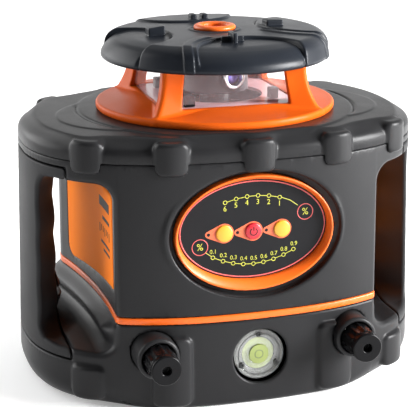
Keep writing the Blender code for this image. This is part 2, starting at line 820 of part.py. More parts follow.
def build_rotor():
    drum_profile = (
        (0.0060, 0.1862),
        (0.0185, 0.1862),
        (ROTOR_RADIUS, 0.1852),
        (ROTOR_RADIUS, 0.1652),
        (0.0093, 0.1652),
        (0.0093, 0.1670),
        (0.0173, 0.1670),
        (0.0173, 0.1844),
        (0.0060, 0.1844),
    )
    drum = turned("rotor_drum", drum_profile, BLACK, steps=24)
    cut(drum, cylinder("lens_bore", 0.0056, along_lens(0.010), along_lens(0.025), segments=24))
    barrel_profile = (
        (0.0045, 0.0030),
        (0.0062, 0.0030),
        (0.0068, 0.0022),
        (0.0068, 0.0005),
        (0.0053, 0.0005),
        (0.0053, -0.0030),
        (0.0045, -0.0030),
    )
    barrel = turned("lens_ring", barrel_profile, STEEL, steps=20)
    lens_profile = ((0.0, 0.0012), (0.0025, 0.0009), (0.0042, 0.0), (0.0042, -0.0015), (0.0, -0.0015))
    lens = turned("rotor_lens", lens_profile, LENS_GLASS, steps=18, ring=False)
    for item, distance in ((barrel, ROTOR_RADIUS), (lens, ROTOR_RADIUS)):
        item.rotation_euler = (radians(90), 0.0, LENS_HEADING)
        item.location = along_lens(distance)
    prism_plan = ((-0.007, -0.009), (0.007, -0.009), (0.009, 0.004), (0.0, 0.010), (-0.009, 0.004))
    rings = [[(x, y, z) for x, y in prism_plan] for z in (0.1684, 0.1826)]
    prism = loft("pentaprism", rings, GLASS)
    prism.rotation_euler = (0.0, 0.0, LENS_HEADING)
    spindle = ((0.0062, 0.1680), (0.0090, 0.1680), (0.0090, 0.1225), (0.0062, 0.1225))
    turned("rotor_spindle", spindle, STEEL, steps=16)
    pulley = (
        (0.0093, 0.1530),
        (0.0162, 0.1530),
        (0.0162, 0.1522),
        (0.0150, 0.1520),
        (0.0150, 0.1484),
        (0.0162, 0.1482),
        (0.0162, 0.1474),
        (0.0093, 0.1474),
    )
    turned("drive_pulley", pulley, BLACK, steps=20)


def belt_ring(extra, z):
    """The belt's outline round both pulleys, this far outside their grooves."""
    lean = (DRIVE_PULLEY_RADIUS - MOTOR_PULLEY_RADIUS) / MOTOR_Y
    half_wrap = pi / 2 + lean
    points = []
    for i in range(25):
        angle = -pi / 2 - half_wrap + 2 * half_wrap * i / 24
        radius = DRIVE_PULLEY_RADIUS + extra
        points.append((radius * cos(angle), radius * sin(angle), z))
    half_wrap = pi / 2 - lean
    for i in range(13):
        angle = pi / 2 - half_wrap + 2 * half_wrap * i / 12
        radius = MOTOR_PULLEY_RADIUS + extra
        points.append((radius * cos(angle), MOTOR_Y + radius * sin(angle), z))
    return points


def build_rotor_drive():
    corners = ((0.1490, 0.0013), (0.1514, 0.0013), (0.1514, GAP), (0.1490, GAP))
    loft("drive_belt", [belt_ring(extra, z) for z, extra in corners], BLACK, closed=True)
    motor_profile = (
        (0.0, 0.1424),
        (0.0082, 0.1424),
        (0.0090, 0.1416),
        (0.0090, 0.1170),
        (0.0040, 0.1170),
        (0.0040, 0.1150),
        (0.0, 0.1150),
    )
    turned("rotor_motor", motor_profile, STEEL, steps=16, ring=False).location = (0.0, MOTOR_Y, 0.0)
    pulley_profile = (
        (0.0, 0.1532),
        (0.0062, 0.1532),
        (0.0062, 0.1522),
        (MOTOR_PULLEY_RADIUS, 0.1520),
        (MOTOR_PULLEY_RADIUS, 0.1484),
        (0.0062, 0.1482),
        (0.0062, 0.1474),
        (0.0015, 0.1474),
        (0.0015, 0.1428),
        (0.0, 0.1428),
    )
    turned("motor_pulley", pulley_profile, BRASS, steps=14, ring=False).location = (0.0, MOTOR_Y, 0.0)


# ---------------------------------------------------------------- self-levelling carriage


def build_carriage():
    profile = (
        (0.0134, 0.1466),
        (0.0175, 0.1466),
        (0.0175, 0.1240),
        (0.0270, 0.1180),
        (0.0270, 0.0980),
        (0.0200, 0.0940),
        (0.0200, 0.0660),
        (0.0160, 0.0660),
        (0.0160, 0.1160),
        (0.0134, 0.1200),
    )
    carriage = turned("tilt_carriage", profile, ALUMINIUM, steps=20)
    join(carriage, box("motor_arm", (-0.0090, 0.0150, 0.1430), (0.0090, 0.0440, 0.1464)))
    shaft_ends = ((0, MOTOR_Y, 0.14), (0, MOTOR_Y, 0.15))
    cut(carriage, cylinder("motor_shaft_hole", 0.0020, *shaft_ends, segments=16))
    for y_low, y_high in ((-0.0400, -0.0250), (0.0250, 0.0400)):
        ends = ((0, y_low, PIVOT_LEVEL), (0, y_high, PIVOT_LEVEL))
        join(carriage, cylinder(f"trunnion_{y_low}", 0.0024, *ends))
    laser = (
        (0.0, 0.1215),
        (0.0050, 0.1215),
        (0.0080, 0.1195),
        (0.0080, 0.1130),
        (0.0154, 0.1120),
        (0.0154, 0.0690),
        (0.0060, 0.0690),
        (0.0060, 0.0640),
        (0.0, 0.0640),
    )
    turned("laser_module", laser, BRASS, steps=18, ring=False)
    for name, low in (("spindle_bearing_lower", 0.1245), ("spindle_bearing_upper", 0.1380)):
        race = ((0.0093, low + 0.006), (0.0131, low + 0.006), (0.0131, low), (0.0093, low))
        turned(name, race, STEEL, steps=16)


def build_gimbal():
    ring_profile = ((0.0340, 0.1125), (0.0390, 0.1125), (0.0390, 0.1035), (0.0340, 0.1035))
    ring = turned("gimbal_ring", ring_profile, ALUMINIUM, steps=20)
    for x_low, x_high in ((-0.0520, -0.0365), (0.0365, 0.0520)):
        ends = ((x_low, 0, PIVOT_LEVEL), (x_high, 0, PIVOT_LEVEL))
        join(ring, cylinder(f"ring_trunnion_{x_low}", 0.0024, *ends))
    cut(ring, cylinder("ring_bore", 0.0028, (0, -0.05, PIVOT_LEVEL), (0, 0.05, PIVOT_LEVEL)))
    bore = cylinder("post_bore", 0.0028, (-0.06, 0, PIVOT_LEVEL), (0.06, 0, PIVOT_LEVEL))
    for side, s in SIDES:
        x_low, x_high = sorted((s * 0.0440, s * 0.0510))
        low = (x_low, -0.011, 0.0598)
        high = (x_high, 0.011, 0.1160)
        post = box(f"gimbal_post_{side}", low, high, ALUMINIUM, 0.0015)
        cut(post, bore)


def build_chassis():
    plate = plan_solid("chassis_plate", core_radius, ((0.0566, 0.0036), (0.0595, 0.0036)), SHELL)
    cut(plate, cylinder("chassis_hole", 0.0300, (0, 0, 0.05), (0, 0, 0.07)))


# ---------------------------------------------------------------- power


def build_battery():
    door = plan_frame("battery_door", core_radius, 0.0614, 0.1176, 0.0028, 0.0, RUBBER)
    keep_inside(door, battery_opening("door_outline", 0.0524, 0.0500, 0.1300))
    cut(door, cylinder("lock_bore", 0.0073, (0.0, 0.06, 0.1080), (0.0, 0.1, 0.1080), segments=28))
    lock_profile = (
        (0.0, 0.0006),
        (0.0064, 0.0006),
        (0.0070, 0.0),
        (0.0070, -0.0032),
        (0.0030, -0.0032),
        (0.0030, -0.0050),
        (0.0, -0.0050),
    )
    lock = turned("battery_lock", lock_profile, BLACK, steps=18, ring=False)
    lock.rotation_euler = (radians(-90), 0.0, 0.0)
    lock.location = (0.0, 0.0820, 0.1080)
    cut(lock, box("coin_slot", (-0.0050, 0.0812, 0.1073), (0.0050, 0.0900, 0.1087)))
    low = (-0.0480, 0.0490, 0.0625)
    high = (0.0480, 0.0715, 0.1020)
    box("battery_pack", low, high, PACK, 0.0030, 2)


build_lower_housing()
build_tripod_bush()
build_trim_band()
build_main_housing()
build_top_cover()
for side_name, side_sign in SIDES:
    build_handle(side_name, side_sign)
    build_side_label(side_name, side_sign)
    build_grade_knob(side_name, side_sign)
build_panel()
build_control_board()
build_vial()
build_lantern_cage()
build_windows()
build_lantern_deck()
build_head_cap()
build_cap_ring()
build_rotor()
build_rotor_drive()
build_carriage()
build_gimbal()
build_chassis()
build_battery()
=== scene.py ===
"""Looks of a self-levelling rotary laser level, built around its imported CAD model.

Most visible shells are implicit solids: a field gives the signed distance to the surface, and skin() makes a
smooth mesh of it. Fields count in millimetres from the rotor's axis, with Z up from the ground.
"""

import json
from math import cos, pi, radians, sin, sqrt, tau

import bmesh
import bpy
import numpy as np
from mathutils import Matrix, Vector


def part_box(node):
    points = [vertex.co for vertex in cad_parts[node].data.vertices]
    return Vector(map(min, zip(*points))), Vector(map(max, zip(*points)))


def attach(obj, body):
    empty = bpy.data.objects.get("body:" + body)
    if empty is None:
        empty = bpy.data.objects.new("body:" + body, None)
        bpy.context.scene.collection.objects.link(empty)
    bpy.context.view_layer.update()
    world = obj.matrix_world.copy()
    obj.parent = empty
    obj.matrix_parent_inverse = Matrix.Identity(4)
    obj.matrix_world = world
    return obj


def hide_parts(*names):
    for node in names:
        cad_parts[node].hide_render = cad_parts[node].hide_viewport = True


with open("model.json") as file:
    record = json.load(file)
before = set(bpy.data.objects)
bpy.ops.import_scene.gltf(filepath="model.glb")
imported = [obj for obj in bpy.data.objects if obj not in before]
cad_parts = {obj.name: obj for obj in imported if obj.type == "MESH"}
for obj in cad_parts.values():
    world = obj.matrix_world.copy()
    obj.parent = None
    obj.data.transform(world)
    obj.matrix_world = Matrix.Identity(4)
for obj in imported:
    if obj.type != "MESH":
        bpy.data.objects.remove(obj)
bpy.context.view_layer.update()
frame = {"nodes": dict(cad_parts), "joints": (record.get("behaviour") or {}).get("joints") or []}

MM = 0.001
AXIS_Y = next(j for j in frame["joints"] if j["name"] == "rotor_spin")["pos_m"][1] / MM


def span(node):
    """Lowest and highest corner of a CAD node, in millimetres from the rotor's axis."""
    shift = Vector((0.0, AXIS_Y, 0.0))
    return [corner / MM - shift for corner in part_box(node)]


def middle(node):
    """The middle of a CAD node's box, in millimetres from the rotor's axis."""
    return [(low + high) / 2 for low, high in zip(*span(node))]


# Plan of the housing: a superellipse that narrows upwards, and the two recesses for the hands.
HALF_WIDTH = 118.5
HALF_DEPTH = 83.2
WIDTH_DRAFT = 0.022
DEPTH_DRAFT = 0.012
SQUARENESS = 2.44
WALL_HALF_WIDTH = 75.5
WALL_MIDDLE = -38.0
WALL_RADIUS = 389.0
FRONT_CORNER = 2.6
REAR_CORNER = 15.0
SHELL = 3.0

# Levels and sizes read from the CAD nodes.
TRIM_LOW, TRIM_HIGH = (corner.z for corner in span("trim_band"))
SEAM = span("main_housing")[1].z
HANDLE_LOW, HANDLE_HIGH = (corner.z for corner in span("handle_left"))
COVER_TOP = span("top_cover")[1].z
CAGE_LOW, CAGE_TOP = (corner.z for corner in span("lantern_cage"))
CAP_LOW = span("head_cap")[0].z
EAR = -span("handle_left")[1].x
PANEL_LEVEL = middle("panel_bezel")[2]
BEZEL_FRONT = span("panel_bezel")[0].y
FACE_FRONT = span("panel_face")[0].y
FACE_LEVEL = middle("panel_face")[2]
FACE_HALF_WIDTH = span("panel_face")[1].x
FACE_HALF_HEIGHT = span("panel_face")[1].z - FACE_LEVEL
VIAL_X, _, VIAL_LEVEL = middle("vial_cover")
VIAL_FRONT = span("vial_cover")[0].y
KNOB_X, _, KNOB_LEVEL = middle("grade_knob_right")
KNOB_TIP = span("grade_knob_right")[0].y
COLLAR_RADIUS = (span("knob_collar_right")[1].x - span("knob_collar_right")[0].x) / 2
LENS_X, LENS_Y, LENS_LEVEL = middle("lens_ring")

# The hand openings between the core and the grips.
OPENING_LOW = 32.0
OPENING_HIGH = 129.0
OPENING_CORNER = 10.0
GRIP_INNER = 96.5
GRIP_EDGE = 116.0
GRIP_HALF_DEPTH = 34.0
FINGER_PITCH = 24.0
FINGER_DEPTH = 1.6
SCOOP_REACH = 6.5
SCOOP_TOP, SCOOP_LEVEL, SCOOP_FOOT = 50.0, 42.5, 35.0
SCOOP_REAR = 10.0

SEAM_GAP = 0.35
KEY_PITCH = 16.7
LOCK_LEVEL = 108.0

SIDES = (("left", -1), ("right", 1))


# -------- implicit shapes


def rounded_max(a, b, r):
    """What a and b have in common, its edge rounded to radius r."""
    outside = np.hypot(np.maximum(a + r, 0.0), np.maximum(b + r, 0.0))
    return np.minimum(np.maximum(a, b), -r) + outside


def rounded_min(a, b, r):
    """a and b joined, with a fillet of radius r between them."""
    return -rounded_max(-a, -b, r)


def ramp(value, low, high):
    """A smooth step from 0 at low to 1 at high."""
    t = np.clip((value - low) / (high - low), 0.0, 1.0)
    return t * t * (3 - 2 * t)


def surface_points(field, points, cell):
    """Points moved onto the surface of a field, along its gradient."""
    step = cell * 0.05
    for _ in range(2):
        value = field(*points.T)
        slope = np.stack([field(*(points + offset).T) - value for offset in np.eye(3) * step], 1) / step
        move = (value / np.maximum((slope**2).sum(1), 0.04))[:, None] * slope
        length = np.linalg.norm(move, axis=1, keepdims=True)
        points = points - move * np.minimum(1.0, 0.7 * cell / np.maximum(length, 1e-9))
    return points


BLOCK = 4
REACH = 7.5


def sample(field, low, high, cell):
    """The field on a grid. Blocks far from the surface keep the value at their middle."""
    low = np.array(low, float) - 2 * cell
    blocks = np.ceil((np.array(high, float) + 2 * cell - low) / cell / BLOCK).astype(int)
    middles = [low[i] + cell * (BLOCK * np.arange(blocks[i]) + (BLOCK - 1) / 2) for i in range(3)]
    values = field(*np.meshgrid(*middles, indexing="ij"))
    for axis in range(3):
        values = np.repeat(values, BLOCK, axis)
    near = np.nonzero(np.abs(values) < REACH * cell)
    values[near] = field(*[low[i] + cell * near[i] for i in range(3)])
    return low, values


def surface_net(field, low, high, cell):
    """Points and quads of the surface where the field is zero, one point in each grid cell it crosses."""
    low, values = sample(field, low, high, cell)
    inside = values < 0
    shape = np.array(values.shape)
    number = np.full(shape, -1)
    total = np.zeros(shape - 1, int)
    for corner in np.ndindex(2, 2, 2):
        total += inside[tuple(slice(c, n - 1 + c) for c, n in zip(corner, shape))]
    active = np.nonzero((total > 0) & (total < 8))
    number[active] = np.arange(len(active[0]))
    sums = np.zeros((len(active[0]), 3))
    counts = np.zeros(len(active[0]))
    quads = []
    for axis in range(3):
        low_end = [slice(1, -1)] * 3
        high_end = [slice(1, -1)] * 3
        low_end[axis] = slice(0, -1)
        high_end[axis] = slice(1, None)
        start, end = inside[tuple(low_end)], inside[tuple(high_end)]
        crossing = np.array(np.nonzero(start != end))
        crossing[[i for i in range(3) if i != axis]] += 1
        ahead = crossing.copy()
        ahead[axis] += 1
        first, second = values[tuple(crossing)], values[tuple(ahead)]
        point = crossing.T.astype(float)
        point[:, axis] += first / (first - second)
        ring = []
        for back_b, back_c in ((1, 1), (0, 1), (0, 0), (1, 0)):
            cell_at = crossing.copy()
            cell_at[(axis + 1) % 3] -= back_b
            cell_at[(axis + 2) % 3] -= back_c
            ring.append(number[tuple(cell_at)])
        for cells in ring:
            counts += np.bincount(cells, minlength=len(counts))
            for i in range(3):
                sums[:, i] += np.bincount(cells, point[:, i], len(counts))
        quad = np.stack(ring, 1)
        turned_round = first >= 0
        quad[turned_round] = quad[turned_round][:, ::-1]
        quads.append(quad)
    points = low + cell * sums / counts[:, None]
    return surface_points(field, points, cell), np.concatenate(quads)


def mesh_from(name, points, faces):
    """A mesh from points in millimetres from the rotor's axis, and faces of one size."""
    mesh = bpy.data.meshes.new(name)
    placed = (np.asarray(points, float) + (0.0, AXIS_Y, 0.0)) * MM
    faces = np.asarray(faces)
    mesh.vertices.add(len(placed))
    mesh.vertices.foreach_set("co", placed.astype(np.float32).ravel())
    mesh.loops.add(faces.size)
    mesh.loops.foreach_set("vertex_index", faces.astype(np.int32).ravel())
    mesh.polygons.add(len(faces))
    mesh.polygons.foreach_set("loop_start", np.arange(0, faces.size, faces.shape[1], dtype=np.int32))
    mesh.update(calc_edges=True)
    mesh.validate()
    return mesh


def place(name, mesh, material, body, replaces=(), smooth=True):
    item = bpy.data.objects.new(name, mesh)
    bpy.context.scene.collection.objects.link(item)
    mesh.materials.append(material)
    if smooth and isinstance(mesh, bpy.types.Mesh):
        mesh.shade_smooth()
    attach(item, body)
    if replaces:
        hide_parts(*replaces)
    return item


def skin(name, field, low, high, cell, material, replaces, keep, body="housing"):
    """A piece whose surface is where the field is zero. keep is the share of its triangles that it keeps."""
    points, quads = surface_net(field, low, high, cell)
    item = place(name, mesh_from(name, points, quads), material, body, replaces)
    thin = item.modifiers.new("thin", "DECIMATE")
    thin.ratio = keep


# -------- materials


def link(tree, source, target):
    tree.links.new(source, target)


def add(tree, kind, **values):
    """A new node of a kind, with the given values on its inputs."""
    node = tree.nodes.new(f"ShaderNode{kind}")
    for key, value in values.items():
        node.inputs[key.replace("_", " ")].default_value = value
    return node


SLOW_SCALE = 55.0
GLOSS_SPREAD = 0.06
WORN_START, WORN_END = 0.53, 0.62
GRAIN_HEIGHT = 0.0004


def textured(name, color, roughness, grain=1600.0, relief=0.12, mottle=0.1, wear=0.0, shine=0.5, **more):
    """A material with fine grain in its relief, slow changes in colour and gloss, and paler worn edges."""
    material = bpy.data.materials.new(name)
    material.use_nodes = True
    tree = material.node_tree
    shader = tree.nodes["Principled BSDF"]
    shader.inputs["Emission Color"].default_value = (*color, 1.0)
    shader.inputs["Specular IOR Level"].default_value = shine
    for key, value in more.items():
        shader.inputs[key.replace("_", " ")].default_value = value
    place_at = add(tree, "TexCoord")
    slow = add(tree, "TexNoise", Scale=SLOW_SCALE, Detail=4.0)
    link(tree, place_at.outputs["Object"], slow.inputs["Vector"])
    smooth, dull = max(0.02, roughness - GLOSS_SPREAD), roughness + GLOSS_SPREAD
    gloss = add(tree, "MapRange", To_Min=smooth, To_Max=dull)
    link(tree, slow.outputs["Fac"], gloss.inputs["Value"])
    link(tree, gloss.outputs["Result"], shader.inputs["Roughness"])
    tint = add(tree, "Mix")
    tint.data_type = "RGBA"
    tint.inputs["A"].default_value = (*[c * (1 - mottle) for c in color], 1.0)
    tint.inputs["B"].default_value = (*[min(1.0, c * (1 + mottle)) for c in color], 1.0)
    link(tree, slow.outputs["Fac"], tint.inputs["Factor"])
    result = tint.outputs["Result"]
    if wear:
        edges = add(tree, "NewGeometry")
        sharp = add(tree, "MapRange", From_Min=WORN_START, From_Max=WORN_END, To_Max=wear)
        worn = add(tree, "Mix")
        worn.data_type = "RGBA"
        worn.inputs["B"].default_value = (*[min(1.0, c * 1.6 + 0.03) for c in color], 1.0)
        link(tree, edges.outputs["Pointiness"], sharp.inputs["Value"])
        link(tree, sharp.outputs["Result"], worn.inputs["Factor"])
        link(tree, result, worn.inputs["A"])
        result = worn.outputs["Result"]
    link(tree, result, shader.inputs["Base Color"])
    fine = add(tree, "TexNoise", Scale=grain, Detail=3.0)
    link(tree, place_at.outputs["Object"], fine.inputs["Vector"])
    bump = add(tree, "Bump", Strength=relief, Distance=GRAIN_HEIGHT)
    link(tree, fine.outputs["Fac"], bump.inputs["Height"])
    link(tree, bump.outputs["Normal"], shader.inputs["Normal"])
    return material


RUBBER = textured("rubber_skin", (0.013, 0.013, 0.0138), 0.36, relief=0.14, wear=0.14, shine=0.13)
GRIP_RUBBER = textured("grip_rubber", (0.019, 0.019, 0.02), 0.5, relief=0.15, wear=0.12, shine=0.1)
CAP_RUBBER = textured("cap_rubber", (0.0095, 0.0115, 0.0155), 0.36, relief=0.12, wear=0.14, shine=0.15)
PLASTIC = textured(
    "dark_plastic", (0.0045, 0.0045, 0.005), 0.22, grain=2200, relief=0.05, wear=0.08, shine=0.09
)
ORANGE = textured("orange_shell", (0.66, 0.105, 0.008), 0.36, relief=0.04, mottle=0.03, shine=0.35)
# A darker copy of the orange: painted shade, standing in for the shade that the cap casts over the lantern
# frame.
SHADED_CAGE_ORANGE = textured("orange_cage_painted_shade", (0.55, 0.082, 0.006), 0.33, relief=0.04, mottle=0.03, shine=0.06)
# The side plates' own orange, made brighter than the shell's as painted light: it stands in for light
# reaching into the shaded hand recesses.
LABEL_WITH_PAINTED_LIGHT = textured("orange_label_with_painted_light", (0.82, 0.2, 0.018), 0.55, relief=0.03, mottle=0.02, shine=0.02)
FILM = textured("panel_print", (0.007, 0.007, 0.008), 0.38, grain=3000, relief=0.04, mottle=0.15, shine=0.12)
PRINT_BLACK = textured("print_black", (0.01, 0.01, 0.012), 0.5, relief=0.02, shine=0.1)
PRINT_YELLOW = textured("print_yellow", (0.36, 0.36, 0.03), 0.45, relief=0.02, mottle=0.06)
PRINT_PINK = textured("print_pink", (0.5, 0.075, 0.07), 0.45, relief=0.02, mottle=0.06)
PRINT_ORANGE = textured("print_orange", (0.52, 0.09, 0.028), 0.42, relief=0.02, mottle=0.06)
KEY_YELLOW = textured("key_yellow", (0.52, 0.26, 0.015), 0.36, relief=0.06, mottle=0.05)
KEY_RED = textured("key_red", (0.36, 0.005, 0.014), 0.36, relief=0.06, mottle=0.05)
ALUMINIUM = textured("satin_aluminium", (0.66, 0.67, 0.69), 0.34, grain=900, relief=0.06, Metallic=1.0)
DECK = textured("deck_coating", (0.84, 0.52, 0.55), 0.22, relief=0.03, mottle=0.05)
POST_GREY = textured("post_paint", (0.33, 0.34, 0.34), 0.5, relief=0.05)
STEEL = textured("ground_steel", (0.58, 0.58, 0.6), 0.24, grain=1200, relief=0.05, Metallic=1.0)
BRASS = textured("turned_brass", (0.72, 0.5, 0.2), 0.28, grain=1100, relief=0.05, Metallic=1.0)
BOARD = textured("solder_mask", (0.02, 0.15, 0.07), 0.42, grain=700, relief=0.1)
WRAP = textured("battery_wrap", (0.05, 0.09, 0.18), 0.32, relief=0.05)
DRUM = textured("drum_coating", (0.06, 0.063, 0.07), 0.3, grain=1500, relief=0.06)
VIAL_WHITE = textured("vial_backing", (0.05, 0.052, 0.046), 0.26, relief=0.05, mottle=0.45)
SCREW_DARK = textured("blackened_screw", (0.05, 0.05, 0.05), 0.3, grain=900, relief=0.05, Metallic=0.9)
FLUID = textured("vial_fluid", (0.19, 0.235, 0.055), 0.12, relief=0.01, mottle=0.15, Coat_Weight=0.5)
GLASS = textured("window_pane", (0.95, 0.78, 0.82), 0.05, relief=0.0, mottle=0.01, Alpha=0.05, shine=0.25)
CLEAR = textured("clear_cover", (0.92, 0.94, 0.93), 0.06, relief=0.0, mottle=0.01, Alpha=0.09)
LENS = textured("coated_lens", (0.1, 0.08, 0.55), 0.1, relief=0.0, Metallic=0.4, Coat_Weight=1.0)


# -------- housing fields


def body_skin(x, y, z):
    """Distance outside the housing's skin."""
    a = HALF_WIDTH - WIDTH_DRAFT * z
    b = HALF_DEPTH - DEPTH_DRAFT * z
    u, v = np.abs(x / a), np.abs(y / b)
    u_slope, v_slope = u ** (SQUARENESS - 1), v ** (SQUARENESS - 1)
    size = np.maximum(u * u_slope + v * v_slope, 1e-6) ** (1 / SQUARENESS)
    slope = np.hypot(u_slope / a, v_slope / b) * size ** (1 - SQUARENESS)
    return (size - 1) / np.maximum(slope, 1 / 400)


def side_wall(x, y):
    """Distance outside the two recess walls, which are shallow cylinders."""
    bend = (y - WALL_MIDDLE) / WALL_RADIUS
    return (np.abs(x) - WALL_HALF_WIDTH - (y - WALL_MIDDLE) * bend / 2) / np.sqrt(1 + bend * bend)


def core(x, y, z):
    """Distance outside the case between the two recesses, sharp cornered in front and round behind."""
    corner = np.where(y < 0, FRONT_CORNER, REAR_CORNER)
    return rounded_max(body_skin(x, y, z), side_wall(x, y), corner)


def hand_opening(x, y, z):
    """The gap between the core and both grips, with a scooped ledge at the foot of the core."""
    ledge = ramp(z, SCOOP_TOP, SCOOP_LEVEL) * (0.25 + 0.75 * ramp(z, SCOOP_FOOT, SCOOP_LEVEL - 0.5))
    fade = ramp(y, -72.0, -50.0)
    wall = side_wall(x, y)
    scoop = SCOOP_REACH * ledge * fade
    round_rear = np.maximum(scoop - core(x, y, z), scoop - wall - 12.0)
    inner = np.where(y > SCOOP_REAR, round_rear, scoop - wall)
    share = np.minimum(1.0, np.abs(y) / GRIP_HALF_DEPTH)
    wave = FINGER_DEPTH * np.cos(tau * (z - PANEL_LEVEL) / FINGER_PITCH)
    depth = GRIP_EDGE - GRIP_INNER + wave
    slope = depth * np.sin(pi / 2 * share) * pi / 2 / GRIP_HALF_DEPTH
    outer = (np.abs(x) - GRIP_EDGE + depth * np.cos(pi / 2 * share)) / np.sqrt(1 + slope * slope)
    level = (OPENING_LOW + OPENING_HIGH) / 2
    upright = np.abs(z - level) - (OPENING_HIGH - OPENING_LOW) / 2
    return rounded_max(np.maximum(inner, outer), upright, OPENING_CORNER)


PAD_CORNER = 4.5
PAD_ROUNDING = 2.2


def pad(x, y, z, skin_gap, at, front, width, low, high, proud, crown=26.0):
    """A rounded bumper on the skin, square to it at the given x."""
    level = (low + high) / 2
    half_width = HALF_WIDTH - WIDTH_DRAFT * level
    half_depth = HALF_DEPTH - DEPTH_DRAFT * level
    reach = (1 - abs(at / half_width) ** SQUARENESS) ** (1 / SQUARENESS)
    normal_x = abs(at / half_width) ** (SQUARENESS - 1) / half_width * (1 if at > 0 else -1)
    normal_y = -front * reach ** (SQUARENESS - 1) / half_depth
    length = sqrt(normal_x**2 + normal_y**2)
    along = ((x - at) * -normal_y + (y + front * half_depth * reach) * normal_x) / length
    out = skin_gap - proud + along * along / (2 * crown)
    outline = rounded_max(np.abs(along) - width / 2, np.abs(z - level) - (high - low) / 2, PAD_CORNER)
    return np.maximum(rounded_max(outline, out, PAD_ROUNDING), y * front)


# Each bumper: x, front or rear, width, lowest and highest level, height over the skin, and crown radius.
RIBS = [(x, front, 23.0, 3.0, 43.2, 4.5) for front in (1, -1) for x in (-48.0, 48.0)]
FOOT_PADS = [(x, front, 21.0, 5.0, 24.6, 3.5) for front in (1, -1) for x in (-92.0, 92.0)]
PAD_PLACES = (-90.0, -47.0, 1.2, 47.8, 90.0)
COVER_PADS = [(x, front, 20.0, 134.8, 153.0, 3.4, 18.0) for front in (1, -1) for x in PAD_PLACES]


FLANK_START, FLANK_END = 50.0, 85.0
FLANK_RISE = 0.23
FOOT_ROUNDING = 4.0
FLANK_ROUNDING = 7.5


def rubber_body(x, y, z, bumps=()):
    """The whole housing below the cover's seam, before it is split into its shells."""
    gap = body_skin(x, y, z)
    flank = ramp(np.abs(x), FLANK_START, FLANK_END)
    floor = (FLANK_RISE * flank - 1.0) * z
    corner = FOOT_ROUNDING + FLANK_ROUNDING * flank
    solid = rounded_max(gap, floor, corner)
    for bump in bumps:
        solid = rounded_min(solid, pad(x, y, z, gap, *bump), 1.2)
    solid = rounded_min(solid, rounded_max(core(x, y, z) + 0.02, floor, corner), 0.5)
    return rounded_max(solid, -hand_opening(x, y, z), 3.0)


def front_disc(x, z, at_x, at_z):
    """Distance from an axis that runs from front to back."""
    return np.hypot(x - at_x, z - at_z)


FLOOR_THICKNESS = 3.5
VIAL_HOLE_RADIUS = 16.0
TRIPOD_HOLE_RADIUS = 16.3
TRIPOD_HOLE_TOP = 20.0
FRONT_HOLE_END = -60.0


def lower_housing(x, y, z):
    """The base: everything below the stripe, and the foot of both grips."""
    solid = rubber_body(x, y, z, RIBS + FOOT_PADS)
    under_stripe = np.maximum(np.abs(x) - EAR + SEAM_GAP, z - TRIM_LOW + SEAM_GAP)
    kept = np.minimum(z - HANDLE_LOW + 2 * SEAM_GAP, under_stripe)
    solid = rounded_max(solid, kept, 0.6)
    hollow = np.maximum(core(x, y, z) + SHELL, FLOOR_THICKNESS - z)
    solid = np.maximum(solid, -hollow)
    vial_hole = np.maximum(front_disc(x, z, VIAL_X, VIAL_LEVEL) - VIAL_HOLE_RADIUS, y - FRONT_HOLE_END)
    knob_gap = front_disc(np.abs(x), z, KNOB_X, KNOB_LEVEL) - COLLAR_RADIUS - 0.3
    knob_holes = np.maximum(knob_gap, y - FRONT_HOLE_END)
    tripod_hole = np.maximum(np.hypot(x, y) - TRIPOD_HOLE_RADIUS, z - TRIPOD_HOLE_TOP)
    solid = rounded_max(solid, -vial_hole, 0.9)
    solid = rounded_max(solid, -knob_holes, 0.5)
    return rounded_max(solid, -tripod_hole, 0.6)


def ellipse_disc(x, z, half_width, half_height):
    """Distance outside an upright ellipse round the panel's middle."""
    u, v = x / half_width, (z - PANEL_LEVEL) / half_height
    size = np.maximum(np.hypot(u, v), 1e-3)
    return (size - 1) * size / np.hypot(u / half_width, v / half_height)


BATTERY_LEVEL = 89.5
BATTERY_HALF_WIDTH = 52.4
BATTERY_HALF_HEIGHT = 28.1
BATTERY_CORNER = 5.0


def battery_outline(x, z, grow):
    """The rear door's outline, made larger all round by grow."""
    across = np.abs(x) - BATTERY_HALF_WIDTH - grow
    upright = np.abs(z - BATTERY_LEVEL) - BATTERY_HALF_HEIGHT - grow
    return rounded_max(across, upright, BATTERY_CORNER + grow)


# Half width and half height of the boss round the panel, of the bezel's pocket in it and of the hole behind.
BOSS = (52.5, 39.5)
BOSS_FRONT, BOSS_REAR = -78.4, -69.5
POCKET = (49.6, 36.2)
POCKET_REAR = -75.6
PANEL_HOLE = (46.1, 33.4)


def main_housing(x, y, z):
    """The case above the stripe, with a boss round the panel, two label seats and the battery opening."""
    solid = rubber_body(x, y, z)
    kept = np.minimum(
        np.maximum(np.abs(x) - EAR + SEAM_GAP, TRIM_HIGH + SEAM_GAP - z),
        HANDLE_HIGH + 2 * SEAM_GAP - z,
    )
    solid = rounded_max(rounded_max(solid, kept, 0.6), z - SEAM + 0.05, 0.5)
    hollow = core(x, y, z) + SHELL
    label_seat = np.maximum(label_outline(y, z, 0.7), -0.8 - side_wall(x, y))
    solid = np.maximum(rounded_max(solid, -label_seat, 0.2), -hollow)
    boss = rounded_max(ellipse_disc(x, z, *BOSS), BOSS_FRONT - y, 1.5)
    boss = np.maximum(boss, y - BOSS_REAR)
    solid = rounded_min(solid, boss, 1.0)
    pocket = np.maximum(ellipse_disc(x - 1.0, z, *POCKET), y - POCKET_REAR)
    through = np.maximum(ellipse_disc(x, z, *PANEL_HOLE), y - FRONT_HOLE_END)
    solid = rounded_max(solid, -pocket, 1.6)
    solid = np.maximum(solid, -through)
    battery_hole = np.maximum(battery_outline(x, z, 0.4), 55.0 - y)
    return rounded_max(solid, -battery_hole, 0.5)


def handle(x, y, z):
    """Both grips: what lies outside the ears and between the two seams."""
    solid = rubber_body(x, y, z)
    upright = np.maximum(HANDLE_LOW + SEAM_GAP - z, z - HANDLE_HIGH + SEAM_GAP)
    return rounded_max(solid, np.maximum(EAR + SEAM_GAP - np.abs(x), upright), 0.6)


